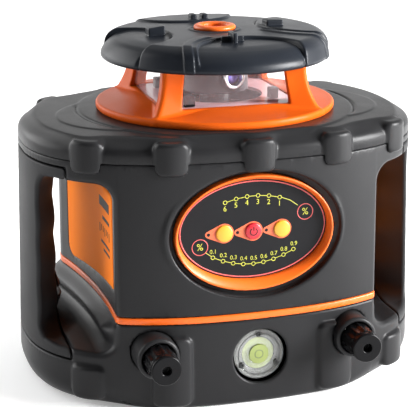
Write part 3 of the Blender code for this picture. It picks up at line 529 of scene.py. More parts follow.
SHOULDER_X = 52.0
SHOULDER_Y = -8.0
SHOULDER_RADIUS = 43.5
PLATEAU_RADIUS = 81.0


def cover_top_level(x, y):
    """Height of the cover's top: a round plateau under the head, and two raised shoulders outside it."""
    r = np.hypot(x, y)
    outside = ramp(r, PLATEAU_RADIUS - 0.5, PLATEAU_RADIUS + 1.0)
    shoulder = SHOULDER_RADIUS - np.hypot(np.abs(x) - SHOULDER_X, y - SHOULDER_Y)
    raised = 0.45 * ramp(shoulder, -0.7, 0.7)
    crease = 1.1 * np.exp(-(((r - PLATEAU_RADIUS - 0.6) / 0.9) ** 2)) * ramp(shoulder, 1.0, 9.0)
    fall = 1.2 * ramp(r, PLATEAU_RADIUS, 125.0)
    return COVER_TOP - outside * (0.75 - raised + fall) - crease


BAND_TOP = 150.6
TIER_INSET = 6.0
SWELL_HEIGHT = 4.6
SWELL_WIDTH = 9.5
HEAD_HOLE_RADIUS = 56.0


def top_cover(x, y, z):
    """A low band with rubber pads, and above it a smaller tier whose edge swells out over the pads."""
    gap = body_skin(x, y, z)
    bottom = SEAM + 0.15 - z
    band = rounded_max(rounded_max(gap, z - BAND_TOP, 5.5), bottom, 0.5)
    swell = sum(np.exp(-(((x - place_at) / SWELL_WIDTH) ** 2)) for place_at in PAD_PLACES)
    tier = rounded_max(gap + TIER_INSET - SWELL_HEIGHT * swell, z - cover_top_level(x, y), 4.6) * 0.85
    solid = rounded_min(band, np.maximum(tier, bottom), 3.2)
    for bump in COVER_PADS:
        solid = rounded_min(solid, pad(x, y, z, gap, *bump), 1.0)
    below = np.maximum(gap - 0.3, z - SEAM - 0.15)
    solid = np.maximum(solid, -below)
    hollow = np.maximum(rounded_max(gap + 3.5, z - 147.0, 5.5), 130.0 - z)
    hole = np.hypot(x, y) - HEAD_HOLE_RADIUS
    return np.maximum(solid, -np.minimum(hollow, hole))


DOOR_THICKNESS = 2.8
RIB_PITCH = 5.0
LOCK_HOLE_RADIUS = 7.3


def battery_door(x, y, z):
    """The rear door: a plate that follows the skin, with a sunk field, five ribs and a hole for its lock."""
    gap = body_skin(x, y, z)
    plate = np.maximum(gap, -DOOR_THICKNESS - gap)
    solid = rounded_max(plate, battery_outline(x, z, -0.2), 0.7)
    field_panel = np.maximum(battery_outline(x, z, -7.0), -gap - 0.7)
    solid = rounded_max(solid, -np.maximum(field_panel, 40.0 - y), 0.5)
    bars = np.abs((z - 66.5) % RIB_PITCH - RIB_PITCH / 2) - 0.9
    ribs = np.maximum(bars, np.maximum(np.abs(x) - 30.0, np.abs(z - 79.0) - 2.5 * RIB_PITCH))
    ribs = np.maximum(ribs, np.maximum(gap + 0.1, -2.0 - gap))
    solid = rounded_min(solid, np.maximum(ribs, 40.0 - y), 0.4)
    lock_hole = np.maximum(np.hypot(x, z - LOCK_LEVEL) - LOCK_HOLE_RADIUS, 60.0 - y)
    return rounded_max(np.maximum(solid, 40.0 - y), -lock_hole, 0.4)


def trim_band(x, y, z):
    """The orange stripe, a little proud of the case."""
    gap = core(x, y, z)
    band = np.maximum(gap - 0.25, -2.6 - gap)
    level = (TRIM_LOW + TRIM_HIGH) / 2
    return rounded_max(band, np.abs(z - level) - (TRIM_HIGH - TRIM_LOW) / 2, 0.5)


LABEL_FRONT, LABEL_REAR = -59.0, 36.0
LABEL_LOW, LABEL_HIGH = 59.5, 121.0
LABEL_SLOPE = 0.085


def label_outline(y, z, grow=0.0):
    """The side plate's outline: its lower edge falls towards the rear, and its corners are rounded."""
    front = LABEL_FRONT - y
    rear = y - LABEL_REAR
    top = z - LABEL_HIGH
    bottom = LABEL_LOW + LABEL_SLOPE * (LABEL_REAR - y) - z
    return np.maximum(rounded_max(rear, bottom, 10.0), rounded_max(front, top, 2.0)) - grow


def side_label(x, y, z):
    """Both orange side plates, which follow the recess walls."""
    plate = np.abs(side_wall(x, y) + 0.6) - 0.9
    return rounded_max(plate, label_outline(y, z), 0.25)


def build_housing():
    wide, deep = HALF_WIDTH + 1, HALF_DEPTH + 6
    skin(
        "base_shell", lower_housing, (-wide, -deep, 0), (wide, deep, TRIM_LOW), 1.0, RUBBER,
        replaces=["lower_housing"], keep=0.45,
    )
    skin(
        "body_shell", main_housing, (-wide, -deep, TRIM_HIGH), (wide, deep, SEAM), 1.0, RUBBER,
        replaces=["main_housing"], keep=0.45,
    )
    skin(
        "cover_shell", top_cover, (-wide, -deep - 2, 133), (wide, deep + 2, COVER_TOP), 0.8, RUBBER,
        replaces=["top_cover"], keep=0.4,
    )
    skin(
        "accent_band", trim_band, (-wide, -deep, TRIM_LOW), (wide, deep, TRIM_HIGH), 0.8, ORANGE,
        replaces=["trim_band"], keep=0.5,
    )
    for side, s in SIDES:
        reach = sorted((s * EAR, s * wide))
        skin(
            f"grip_{side}", handle, (reach[0], -60, HANDLE_LOW), (reach[1], 60, HANDLE_HIGH), 0.8,
            GRIP_RUBBER, replaces=[f"handle_{side}"], keep=0.5,
        )
        reach = sorted((s * 73, s * 84))
        # The side plates take the orange that is brightened with painted light for the shaded recesses.
        skin(
            f"label_plate_{side}", side_label, (reach[0], -60, 58), (reach[1], 37, 122), 0.6, LABEL_WITH_PAINTED_LIGHT,
            replaces=[f"side_label_{side}"], keep=0.2,
        )
    skin(
        "battery_cover", battery_door, (-54, 68, 60), (54, 84, 119), 0.6, RUBBER, body="door",
        replaces=["battery_door"], keep=0.4,
    )


# -------- head


TOWER_HALF_WIDTH = 42.3
TOWER_FOOT = 160.5
TOWER_DRAFT = 0.10
CAGE_WALL = 2.6
FLANGE_RADIUS = 70.0
DISH_LEVEL = 158.8
DISH_RISE = 4.0
FIN_REACH = 58.6
FIN_SWEEP = 10.6
WINDOW_HALF_WIDTH = 31.6
WINDOW_LEVEL = 173.1
WINDOW_HALF_HEIGHT = 10.4


def lantern_cage(x, y, z):
    """A square tower on a round flange. Each corner ends in a fin that sweeps out to the flange's edge."""
    r = np.hypot(x, y)
    far, near = np.maximum(np.abs(x), np.abs(y)), np.minimum(np.abs(x), np.abs(y))
    half = TOWER_HALF_WIDTH - TOWER_DRAFT * (z - TOWER_FOOT)
    tower = rounded_max(far - half, near - half, 2.0)
    tower = np.maximum(tower, np.abs(z - 172.5) - 13.9)
    level = DISH_LEVEL + DISH_RISE * ((67.5 - r) / 24.0).clip(0, 1) ** 1.3
    base = np.maximum((z - level) * 0.93, np.maximum(r - 68.5, CAGE_LOW - z))
    flange = rounded_max(r - FLANGE_RADIUS, np.abs(z - CAGE_LOW - 1.9) - 1.9, 1.5)
    solid = rounded_min(rounded_min(tower, base, 1.2), flange, 1.6)
    out = (np.abs(x) + np.abs(y)) / sqrt(2)
    across = np.abs(np.abs(x) - np.abs(y)) / sqrt(2)
    edge = FIN_REACH + FIN_SWEEP * ((186.0 - z) / 28.0).clip(0, 1) ** 2.3
    wedge = rounded_max(across - 1.3 - 0.62 * np.maximum(edge - out, 0.0), (out - edge) * 0.93, 1.0)
    wedge = np.maximum(wedge, np.abs(z - 171.5) - 14.7)
    solid = rounded_min(solid, wedge, 2.0)
    hollow = np.minimum(np.maximum(r - 57.0, z - 159.0), np.maximum(far - half + CAGE_WALL, 157.0 - z))
    solid = np.maximum(solid, -hollow)
    jamb = near - WINDOW_HALF_WIDTH + 0.13 * (z - 164.8)
    opening = rounded_max(jamb, np.abs(z - WINDOW_LEVEL) - WINDOW_HALF_HEIGHT, 1.0)
    opening = np.maximum(opening, 30.0 - far)
    return rounded_max(solid, -opening, 0.6)


def block(x, y, z, low, high, rounding):
    """A box with rounded edges."""
    sides = [np.abs(v - (a + b) / 2) - (b - a) / 2 for v, a, b in zip((x, y, z), low, high)]
    return rounded_max(rounded_max(sides[0], sides[1], rounding), sides[2], rounding)


CAP_RADIUS = 66.4
CAP_TOP = 200.3
CAP_DOME = 1.4
CAP_ROUNDING = 6.5
CAP_EDGE = 184.9
CAP_EDGE_RADIUS = 60.6
LOBE_TURN = 5.0
LOBE_DISTANCE = 60.0
LOBE_RADIUS = 31.5
LOBE_SUNK = 1.6
LOBE_RAISED = 1.2
SIGHT_DISTANCE = 35.6
SIGHT_FOOT = 190


def head_cap(x, y, z):
    """A thick disc with a round lobe at each side, sunk in front and on the left, and four sights."""
    r = np.hypot(x, y)
    heading = np.degrees(np.arctan2(y, x)) - LOBE_TURN
    turn = np.radians((heading + 45.0) % 90.0 - 45.0)
    ahead, aside = r * np.cos(turn), r * np.sin(turn)
    lobe = np.hypot(ahead - LOBE_DISTANCE, aside) - LOBE_RADIUS
    sunk = (y < -np.abs(x)) | (x < -np.abs(y))
    top = CAP_TOP - CAP_DOME * (r / 66.0) ** 2
    share = ramp(lobe, 0.5, -0.5)
    step = np.where(sunk, LOBE_SUNK, -LOBE_RAISED) * share
    crown = 2.2 * share * sunk * ramp(r, 48.0, 66.0)
    rim = r - CAP_RADIUS + 0.20 * (z - 187.5) + 0.6 * step * ramp(z, 188.0, 194.0)
    solid = rounded_max(rim, z - top + step + crown, CAP_ROUNDING)
    groove = 1.1 * np.exp(-((lobe / 0.8) ** 2)) * ramp(aside, 2.0, 12.0)
    strap = np.abs(lobe - 5.4) - 2.6
    raised = 0.8 * ramp(strap, 0.5, -0.5) * ramp(aside, -10.0, -16.0) * (y < 0)
    solid = solid + groove - raised
    solid = rounded_max(solid, CAP_EDGE - z, 2.6)
    solid = rounded_max(solid, -np.maximum(r - CAP_EDGE_RADIUS, z - CAP_LOW - 0.2), 0.4)
    tilted = z - 0.12 * (x + SIGHT_DISTANCE)
    left = block(x, y, tilted, (-40.6, -4.6, SIGHT_FOOT), (-30.8, 4.2, 203.4), 0.7)
    right = block(x, y, z, (30.4, -4.6, SIGHT_FOOT), (40.8, 4.6, 204.4), 0.9)
    front = block(x, y, z, (-1.3, -41.5, SIGHT_FOOT), (1.3, -30.5, 203.9), 0.5)
    wings = block(x, y, z, (-6.5, -35.8, SIGHT_FOOT), (6.5, -33.4, 201.5), 0.5)
    prong = block(np.abs(x), y, z, (1.6, 31.5, SIGHT_FOOT), (5.4, 38.5, 204.2), 0.9)
    for sight in (left, right, front, wings, prong):
        solid = rounded_min(solid, sight, 0.6)
    hub = rounded_max(r - 15.5, z - 200.7, 0.6)
    solid = rounded_min(solid, hub, 0.6)
    hollow = np.maximum(r - 44.0, z - 194.6)
    hole = r - 10.3
    seat = np.maximum(r - 13.2, 200.5 - z)
    return np.maximum(solid, -np.minimum(np.minimum(hollow, hole), seat))


RING_RADIUS = 9.9


def cap_ring(x, y, z):
    """The orange eyelet in the middle of the cap: a flattened round rim on a sleeve."""
    r = np.hypot(x, y)
    rim = np.hypot(r - RING_RADIUS, (z - 201.5) * 1.4) - 2.3
    sleeve = rounded_max(r - RING_RADIUS, np.abs(z - 196.7) - 5.0, 0.4)
    solid = rounded_min(rim, sleeve, 0.6)
    bore = np.minimum(r - 6.2, np.maximum(r - 7.7, 194.0 - z))
    return rounded_max(np.maximum(solid, -bore), 191.7 - z, 0.3)


def lens_frame(x, y):
    """Distances along and across the lens axis."""
    size = sqrt(LENS_X**2 + LENS_Y**2)
    along = (x * LENS_X + y * LENS_Y) / size
    return along, (x * -LENS_Y + y * LENS_X) / size


DRUM_RADIUS = 19.5
LENS_RADIUS = 5.7


def rotor_drum(x, y, z):
    """The spinning drum, hollow, with a boss and a bore for the lens and a hole in its top."""
    r = np.hypot(x, y)
    low, high = span("rotor_drum")[0].z, span("rotor_drum")[1].z
    wall = r - DRUM_RADIUS + 0.5 * ramp(z, 179.6, 180.2)
    solid = rounded_max(wall, np.abs(z - (low + high) / 2) - (high - low) / 2, 0.8)
    hollow = np.maximum(r - 17.3, np.abs(z - 175.7) - 8.7)
    hub = r - 9.3
    hub_low = np.maximum(hub, z - 172.0)
    solid = np.maximum(solid, -np.minimum(hollow, hub_low))
    along, across = lens_frame(x, y)
    boss = rounded_max(np.hypot(across, z - LENS_LEVEL) - 7.6, np.abs(along - 18.0) - 1.9, 0.6)
    solid = rounded_min(solid, boss, 1.0)
    bore = np.maximum(np.hypot(across, z - LENS_LEVEL) - LENS_RADIUS, 8.0 - along)
    top_hole = np.maximum(r - 6.0, 180.0 - z)
    return rounded_max(solid, -np.minimum(bore, top_hole), 0.3)


def lens_ring(x, y, z):
    """The bright ring round the lens, on a thin sleeve."""
    along, across = lens_frame(x, y)
    r = np.hypot(across, z - LENS_LEVEL)
    front = sqrt(span("lens_ring")[0].y ** 2 + LENS_X**2) - 1.2
    ring = rounded_max(np.abs(r - LENS_RADIUS) - 1.1, np.abs(along - front + 1.6) - 1.6, 0.45)
    sleeve = np.maximum(np.abs(r - 4.95) - 0.4, np.abs(along - front + 3.5) - 2.8)
    return rounded_min(ring, sleeve, 0.2)


def build_head():
    # The lantern frame takes the darker orange, which is painted shade from the cap.
    skin(
        "lantern_frame", lantern_cage, (-71, -71, CAGE_LOW), (71, 71, CAGE_TOP), 0.7, SHADED_CAGE_ORANGE,
        replaces=["lantern_cage"], keep=0.5,
    )
    skin(
        "cap_shell", head_cap, (-68, -68, CAP_LOW - 2), (68, 68, 205), 0.6, CAP_RUBBER,
        replaces=["head_cap"], keep=0.45,
    )
    skin(
        "cap_bezel", cap_ring, (-13, -13, 191), (13, 13, 204), 0.35, ORANGE,
        replaces=["cap_ring"], keep=0.5,
    )
    skin(
        "drum_shell", rotor_drum, (-21, -21, 165), (21, 21, 187), 0.5, DRUM, body="rotor",
        replaces=["rotor_drum"], keep=0.4,
    )
    skin(
        "lens_bezel", lens_ring, (-8, -24, 167), (13, -10, 183), 0.3, STEEL, body="rotor",
        replaces=["lens_ring"], keep=0.6,
    )


# -------- controls


KNOB_RADIUS = 9.0
KNOB_LENGTH = 18.8
FLUTES = 12
FLUTE_DEPTH = 0.75


def grade_knob(x, y, z, s):
    """A fluted knob with a smooth head and a small hole in it; s is -1 on the left and 1 on the right."""
    dx, dz = x - s * KNOB_X, z - KNOB_LEVEL
    r, angle = np.hypot(dx, dz), np.arctan2(dz, dx)
    depth = y - KNOB_TIP
    flute = FLUTE_DEPTH * ramp(depth, 3.6, 5.0) * (0.5 - 0.5 * np.cos(FLUTES * angle)) ** 0.7
    side = r - KNOB_RADIUS + flute + 0.5 * ramp(depth, 4.6, 3.6)
    solid = rounded_max(side, np.abs(depth - KNOB_LENGTH / 2) - KNOB_LENGTH / 2, 0.9)
    solid = rounded_max(solid, -np.maximum(r - 2.6, depth - 4.5), 0.4)
    socket = np.maximum(r - 2.9, 8.5 - depth)
    return np.maximum(solid, -socket)


def knob_collar(x, y, z, s):
    """The rubber ring that a knob turns in."""
    r = np.hypot(x - s * KNOB_X, z - KNOB_LEVEL)
    low, high = span("knob_collar_right")
    solid = rounded_max(r - COLLAR_RADIUS, np.abs(y - (low.y + high.y) / 2) - (high.y - low.y) / 2, 1.8)
    return rounded_max(solid, 9.6 - r, 0.5)


MOUTH_HALF_WIDTH, MOUTH_HALF_HEIGHT = 44.9, 32.2
BEZEL_HALF_WIDTH, BEZEL_HALF_HEIGHT = 45.6, 32.9


def bezel(x, y, z):
    """An oval ring. Its inner wall slopes back to the panel's face, which sits a little above its middle."""
    depth = y - BEZEL_FRONT
    rise = FACE_LEVEL - PANEL_LEVEL
    share = np.clip(depth / (FACE_FRONT - BEZEL_FRONT), 0, 1)
    bowl = share * (2 - share)
    half_width = MOUTH_HALF_WIDTH + (FACE_HALF_WIDTH + 0.2 - MOUTH_HALF_WIDTH) * bowl
    half_height = MOUTH_HALF_HEIGHT + (FACE_HALF_HEIGHT + 0.2 - MOUTH_HALF_HEIGHT) * bowl
    outer = ellipse_disc(x, z, BEZEL_HALF_WIDTH, BEZEL_HALF_HEIGHT)
    inner = ellipse_disc(x, z - rise * bowl, half_width, half_height)
    solid = rounded_max(outer, np.abs(depth - 4.6) - 4.6, 0.7)
    seat = np.maximum(inner, depth - 6.2)
    through = ellipse_disc(x, z - rise, FACE_HALF_WIDTH - 3.0, FACE_HALF_HEIGHT - 3.0)
    return rounded_max(solid, -np.minimum(seat, through) * 0.85, 0.3)


KEY_RADIUS = 4.8
KEY_FOOT_RADIUS = 6.2


def key(x, y, z, at):
    """A domed round key on a wider foot behind the panel's face."""
    r = np.hypot(x - at, z - PANEL_LEVEL)
    depth = y - FACE_FRONT
    crown = depth + 1.6 - 0.028 * r * r
    cap = rounded_max(r - KEY_RADIUS, -crown, 0.6)
    cap = np.maximum(cap, depth - 2.4)
    foot = rounded_max(r - KEY_FOOT_RADIUS, np.abs(depth - 2.45) - 0.55, 0.2)
    return rounded_min(cap, foot, 0.2)


CARRIER_RADIUS = 14.8
SCREW_HOLE_RADIUS = 1.9
SCREW_HEAD_RADIUS = 1.55


def vial_body(x, y, z):
    """A round carrier with a shallow pocket for the capsule."""
    r = front_disc(x, z, VIAL_X, VIAL_LEVEL)
    depth = y - VIAL_FRONT
    solid = rounded_max(r - CARRIER_RADIUS, np.abs(depth - 6.3) - 4.6, 0.5)
    pocket = np.maximum(r - 9.8, np.abs(depth - 5.0) - 4.9)
    return np.maximum(solid, -pocket)


def vial_face(x, y, z):
    """A clear flat ring with a raised rim and three holes for its screws."""
    r = front_disc(x, z, VIAL_X, VIAL_LEVEL)
    depth = y - VIAL_FRONT
    rim = rounded_max(np.abs(r - 13.7) - 0.9, np.abs(depth - 0.7) - 0.85, 0.4)
    plate = rounded_max(np.abs(r - 9.9) - 4.0, np.abs(depth - 1.0) - 0.5, 0.2)
    solid = rounded_min(rim, plate, 0.3)
    for number in (1, 2, 3):
        at_x, _, at_z = middle(f"vial_screw_{number}")
        solid = np.maximum(solid, SCREW_HOLE_RADIUS - front_disc(x, z, at_x, at_z))
    return solid


def cross_screw(x, y, z, at_x, at_z, front):
    """A screw with a domed head and a cross recess."""
    dx, dz = x - at_x, z - at_z
    r = np.hypot(dx, dz)
    depth = y - front
    solid = rounded_max(r - SCREW_HEAD_RADIUS, -depth + 0.05 * r * r, 0.25)
    solid = np.maximum(solid, depth - 4.8)
    near, far = np.minimum(np.abs(dx), np.abs(dz)), np.maximum(np.abs(dx), np.abs(dz))
    recess = np.maximum(near - 0.22, np.maximum(far - 0.95, depth - 0.7))
    return np.maximum(solid, -recess)


LOCK_REAR = 82.6
LOCK_RADIUS = 7.0


def quarter_lock(x, y, z):
    """The coin lock in the door: a disc with a straight slot, on a neck."""
    r = np.hypot(x, z - LOCK_LEVEL)
    depth = LOCK_REAR - y
    solid = rounded_max(r - LOCK_RADIUS, np.abs(depth - 1.9) - 1.9, 0.5)
    neck = np.maximum(r - 3.0, np.abs(depth - 2.8) - 2.8)
    solid = np.minimum(solid, neck)
    slot = np.maximum(np.abs(z - LOCK_LEVEL) - 0.7, np.maximum(np.abs(x) - 5.0, depth - 1.4))
    return rounded_max(solid, -slot, 0.2)


def build_controls():
    low, high = span("panel_bezel")
    skin(
        "panel_surround", bezel, (-47, low.y, 65), (47, high.y, 134), 0.6, ORANGE,
        replaces=["panel_bezel"], keep=0.6,
    )
    for name, place_at, material, slot in (
        ("left", -1, KEY_YELLOW, "yellow_key"),
        ("power", 0, KEY_RED, "red_key"),
        ("right", 1, KEY_YELLOW, "yellow_key"),
    ):
        at = place_at * KEY_PITCH
        skin(
            f"key_cap_{name}", lambda x, y, z, at=at: key(x, y, z, at),
            (at - 7, FACE_FRONT - 2, PANEL_LEVEL - 7), (at + 7, FACE_FRONT + 3.2, PANEL_LEVEL + 7),
            0.3, material, body=f"key_{name}", replaces=[f"button_{name}"], keep=0.6,
        )
    for side, s in SIDES:
        x = s * KNOB_X
        skin(
            f"fluted_knob_{side}", lambda x, y, z, s=s: grade_knob(x, y, z, s),
            (x - 10, KNOB_TIP, KNOB_LEVEL - 10), (x + 10, KNOB_TIP + 19, KNOB_LEVEL + 10), 0.35, PLASTIC,
            body=f"knob_{side}", replaces=[f"grade_knob_{side}"], keep=0.5,
        )
        skin(
            f"collar_ring_{side}", lambda x, y, z, s=s: knob_collar(x, y, z, s),
            (x - 13, -89, KNOB_LEVEL - 13), (x + 13, -71, KNOB_LEVEL + 13), 0.5, RUBBER,
            replaces=[f"knob_collar_{side}"], keep=0.35,
        )
    skin(
        "vial_housing", vial_body, (VIAL_X - 15, VIAL_FRONT, VIAL_LEVEL - 15),
        (VIAL_X + 15, VIAL_FRONT + 12, VIAL_LEVEL + 15), 0.45, VIAL_WHITE,
        replaces=["vial_carrier"], keep=0.3,
    )
    skin(
        "vial_window", vial_face, (VIAL_X - 15, VIAL_FRONT - 1, VIAL_LEVEL - 15),
        (VIAL_X + 15, VIAL_FRONT + 2, VIAL_LEVEL + 15), 0.35, CLEAR,
        replaces=["vial_cover"], keep=0.4,
    )
    for number in (1, 2, 3):
        low, high = span(f"vial_screw_{number}")
        at_x, _, at_z = middle(f"vial_screw_{number}")
        skin(
            f"vial_fixing_{number}",
            lambda x, y, z, at=(at_x, at_z, low.y): cross_screw(x, y, z, *at),
            low, high, 0.12, SCREW_DARK, replaces=[f"vial_screw_{number}"], keep=0.5,
        )
    skin(
        "coin_lock", quarter_lock, (-8, 76, 100), (8, 83, 116), 0.4, PLASTIC, body="door_lock",
        replaces=["battery_lock"], keep=0.6,
    )


# -------- printed marks, and a ring of painted shade on the vial


def place_print(name, shape, material):
    """A piece on the housing, from a bmesh in millimetres from the rotor's axis."""
    shape.transform(Matrix.Scale(MM, 4) @ Matrix.Translation((0.0, AXIS_Y, 0.0)))
    mesh = bpy.data.meshes.new(name)
    shape.to_mesh(mesh)
    shape.free()
    place(name, mesh, material, "housing", smooth=False)


def flat_plate(name, outlines, y, thickness, material):
    """Flat shapes on the panel, each an outline of (x, z), standing proud of y by their thickness."""
    shape = bmesh.new()
    for outline in outlines:
        rings = [[shape.verts.new((px, depth, pz)) for px, pz in outline] for depth in (y, y - thickness)]
        shape.faces.new(rings[0])
        shape.faces.new(rings[1][::-1])
        for i in range(len(outline)):
            j = (i + 1) % len(outline)
            shape.faces.new((rings[0][j], rings[0][i], rings[1][i], rings[1][j]))
    bmesh.ops.recalc_face_normals(shape, faces=shape.faces)
    place_print(name, shape, material)


def circle(at_x, at_z, radius, start=0.0, end=tau, steps=40):
    """Points of (x, z) along a circle or an arc."""
    angles = [start + (end - start) * i / steps for i in range(steps + 1)]
    return [(at_x + radius * cos(angle), at_z + radius * sin(angle)) for angle in angles]


PRINT_FLATNESS = 0.35


def lines(name, paths, y, width, material, body="housing"):
    """Printed lines: flattened tubes along paths of (x, z)."""
    curve = bpy.data.curves.new(name, "CURVE")
    curve.dimensions = "3D"
    curve.bevel_depth = width / 2 * MM
    curve.bevel_resolution = 3
    curve.use_fill_caps = True
    for path in paths:
        closed = (Vector(path[0]) - Vector(path[-1])).length < 1e-6
        points = path[:-1] if closed else path
        spline = curve.splines.new("POLY")
        spline.points.add(len(points) - 1)
        for point, (px, pz) in zip(spline.points, points):
            point.co = (px * MM, 0.0, pz * MM, 1.0)
        spline.use_cyclic_u = closed
    item = bpy.data.objects.new(name, curve)
    bpy.context.scene.collection.objects.link(item)
    item.location = (0.0, (y + AXIS_Y) * MM, 0.0)
    item.scale = (1.0, PRINT_FLATNESS, 1.0)
    curve.materials.append(material)
    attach(item, body)


def lettering(name, marks, y, material):
    """Scale numbers and signs, given as (text, x, z, height), as thin raised print."""
    shape = bmesh.new()
    for text, at_x, at_z, height in marks:
        curve = bpy.data.curves.new("mark", "FONT")
        curve.body = text
        curve.align_x = "CENTER"
        curve.align_y = "CENTER"
        curve.size = height
        curve.extrude = 0.04
        curve.resolution_u = 3
        item = bpy.data.objects.new("mark", curve)
        bpy.context.scene.collection.objects.link(item)
        bpy.context.view_layer.update()
        mesh = bpy.data.meshes.new_from_object(item.evaluated_get(bpy.context.evaluated_depsgraph_get()))
        mesh.transform(Matrix.Translation((at_x, y, at_z)) @ Matrix.Rotation(pi / 2, 4, "X"))
        shape.from_mesh(mesh)
        bpy.data.objects.remove(item)
        bpy.data.meshes.remove(mesh)
    place_print(name, shape, material)


def arc_through(points, steps):
    """Points on the parabola through three points, evenly spaced in x."""
    across, upright = zip(*points)
    places = np.linspace(across[0], across[-1], steps + 1)
    return list(zip(places, np.polyval(np.polyfit(across, upright, 2), places)))


DOT_RADIUS = 1.05
LAMP_DISTANCE = 9.0


def build_panel_print():
    """Two scales of grade in percent, a border line, and a drop shape with a lamp beside each key."""
    top = arc_through(((-16.2, 116.7), (2.5, 119.4), (15.3, 117.4)), 5)
    bottom = arc_through(((-23.2, 85.8), (0.5, 80.2), (23.8, 86.5)), 8)
    coarse, fine = (30.4, 107.9), (-30.6, 92.3)
    dots = [circle(px, pz, DOT_RADIUS, steps=20) for px, pz in top + bottom]
    joins = []
    for scale in (top, bottom):
        for (x0, z0), (x1, z1) in zip(scale, scale[1:]):
            edge = Vector((x1 - x0, z1 - z0)).normalized() * DOT_RADIUS
            joins.append([(x0 + edge.x, z0 + edge.y), (x1 - edge.x, z1 - edge.y)])
    joins.append([(16.4, 117.2), (21.5, 115.2), (26.0, 111.9)])
    joins.append([(-27.6, 89.2), (-24.0, 86.5)])
    lines("scale_lines", dots + joins, FACE_FRONT, 0.42, PRINT_YELLOW)
    border = [(42.0 * cos(tau * i / 120), FACE_LEVEL + 27.4 * sin(tau * i / 120)) for i in range(121)]
    rings = [circle(*coarse, 4.5), circle(*fine, 4.5)]
    lines("border_line", [border], FACE_FRONT, 0.75, PRINT_PINK)
    lines("percent_rings", rings, FACE_FRONT, 0.45, PRINT_PINK)
    marks = [(str(6 - i), px - 0.1, pz - 3.6, 4.2) for i, (px, pz) in enumerate(top)]
    marks += [(f"0.{i + 1}", px + 0.2, pz + 3.3, 3.4) for i, (px, pz) in enumerate(bottom)]
    marks += [("%", *coarse, 5.6), ("%", *fine, 5.6)]
    lettering("scale_numbers", marks, FACE_FRONT - 0.03, PRINT_YELLOW)
    drops, lamps = [], []
    for at in (-KEY_PITCH, 0.0, KEY_PITCH):
        tip = (at - LAMP_DISTANCE, PANEL_LEVEL - 0.1)
        small_end = circle(*tip, 1.9, radians(115), radians(245), 12)
        drops.append(small_end + circle(at, PANEL_LEVEL, 5.6, radians(-115), radians(115), 30))
        lamps.append(circle(*tip, 0.95, steps=20)[:-1])
    flat_plate("key_drops", drops, FACE_FRONT, 0.10, PRINT_ORANGE)
    flat_plate("lamp_windows", lamps, FACE_FRONT - 0.10, 0.08, PRINT_BLACK)
    power_arc = circle(0.0, PANEL_LEVEL, 2.0, radians(125), radians(415), 30)
    power_bar = [(0.0, PANEL_LEVEL + 0.4), (0.0, PANEL_LEVEL + 2.7)]
    lines("power_sign", [power_arc, power_bar], FACE_FRONT - 1.55, 0.5, PRINT_BLACK, body="key_power")


def side_marks(side, s):
    """Plain bars and ticks printed on a side plate, following its shallow curve."""
    start, pitch = -51.0, 4.0
    bars = [(start, -26.0, 108.0, 113.5), (start, -33.0, 101.0, 103.0)]
    bars += [
        (start + pitch * i, start + 1.0 + pitch * i, 93.5 - 1.5 * (i % 3 == 0), 97.0) for i in range(7)
    ]
    bars += [(start, -29.0, 86.5, 88.0), (start, -35.0, 82.5, 84.0)]
    shape = bmesh.new()
    for y0, y1, z0, z1 in bars:
        rows = []
        for i in range(5):
            y = y0 + (y1 - y0) * i / 4
            wall = WALL_HALF_WIDTH + (y - WALL_MIDDLE) ** 2 / (2 * WALL_RADIUS)
            corners = ((wall + 0.1, z0), (wall + 0.42, z0), (wall + 0.42, z1), (wall + 0.1, z1))
            rows.append([shape.verts.new((s * px, y, pz)) for px, pz in corners])
        for near, far in zip(rows, rows[1:]):
            for i in range(4):
                shape.faces.new((near[i], near[(i + 1) % 4], far[(i + 1) % 4], far[i]))
        shape.faces.new(rows[0][::-1])
        shape.faces.new(rows[-1])
    bmesh.ops.recalc_face_normals(shape, faces=shape.faces)
    place_print(f"label_marks_{side}", shape, PRINT_BLACK)


def build_printed_marks():
    """The panel's print, the marks on both side plates, the bubble ring on the vial, and a ring of painted
    shade at the foot of the vial's clear rim.
    """
    build_panel_print()
    for side, s in SIDES:
        side_marks(side, s)
    # A dark ring of painted shade where the vial's raised clear rim meets its flat plate.
    lines("vial_rim_painted_shade", [circle(VIAL_X, VIAL_LEVEL, 12.2)], VIAL_FRONT + 0.45, 0.55, SCREW_DARK)
    lines("vial_bubble_ring", [circle(VIAL_X, VIAL_LEVEL, 2.4)], VIAL_FRONT + 0.34, 0.30, SCREW_DARK)


# -------- CAD nodes that stay


def dress_cad_parts():
    """Materials for the nodes that no piece replaces."""
    finishes = (
        (FILM, "panel_face"),
        (GLASS, "window_front window_left window_rear window_right zenith_window pentaprism"),
        (LENS, "rotor_lens"),
        (DECK, "lantern_deck"),
        (POST_GREY, "deck_post_left deck_post_right"),
        (PLASTIC, "remote_sensor chassis_plate drive_belt drive_pulley"),
        (BRASS, "tripod_bush motor_pulley laser_module"),
        (BOARD, "control_board"),
        (WRAP, "battery_pack"),
        (FLUID, "vial_capsule"),
        (ALUMINIUM, "tilt_carriage gimbal_ring gimbal_post_left gimbal_post_right"),
        (STEEL, "grade_shaft_left grade_shaft_right rotor_spindle rotor_motor"),
        (STEEL, "spindle_bearing_lower spindle_bearing_upper"),
    )
    for material, nodes in finishes:
        for node in nodes.split():
            for slot in frame["nodes"][node].material_slots:
                slot.material = material


# -------- stage, light and camera


AZIMUTH = radians(-16.6)
ELEVATION = radians(15.7)
DISTANCE = 0.853
TARGET = Vector((0.0, 0.010, 0.100))


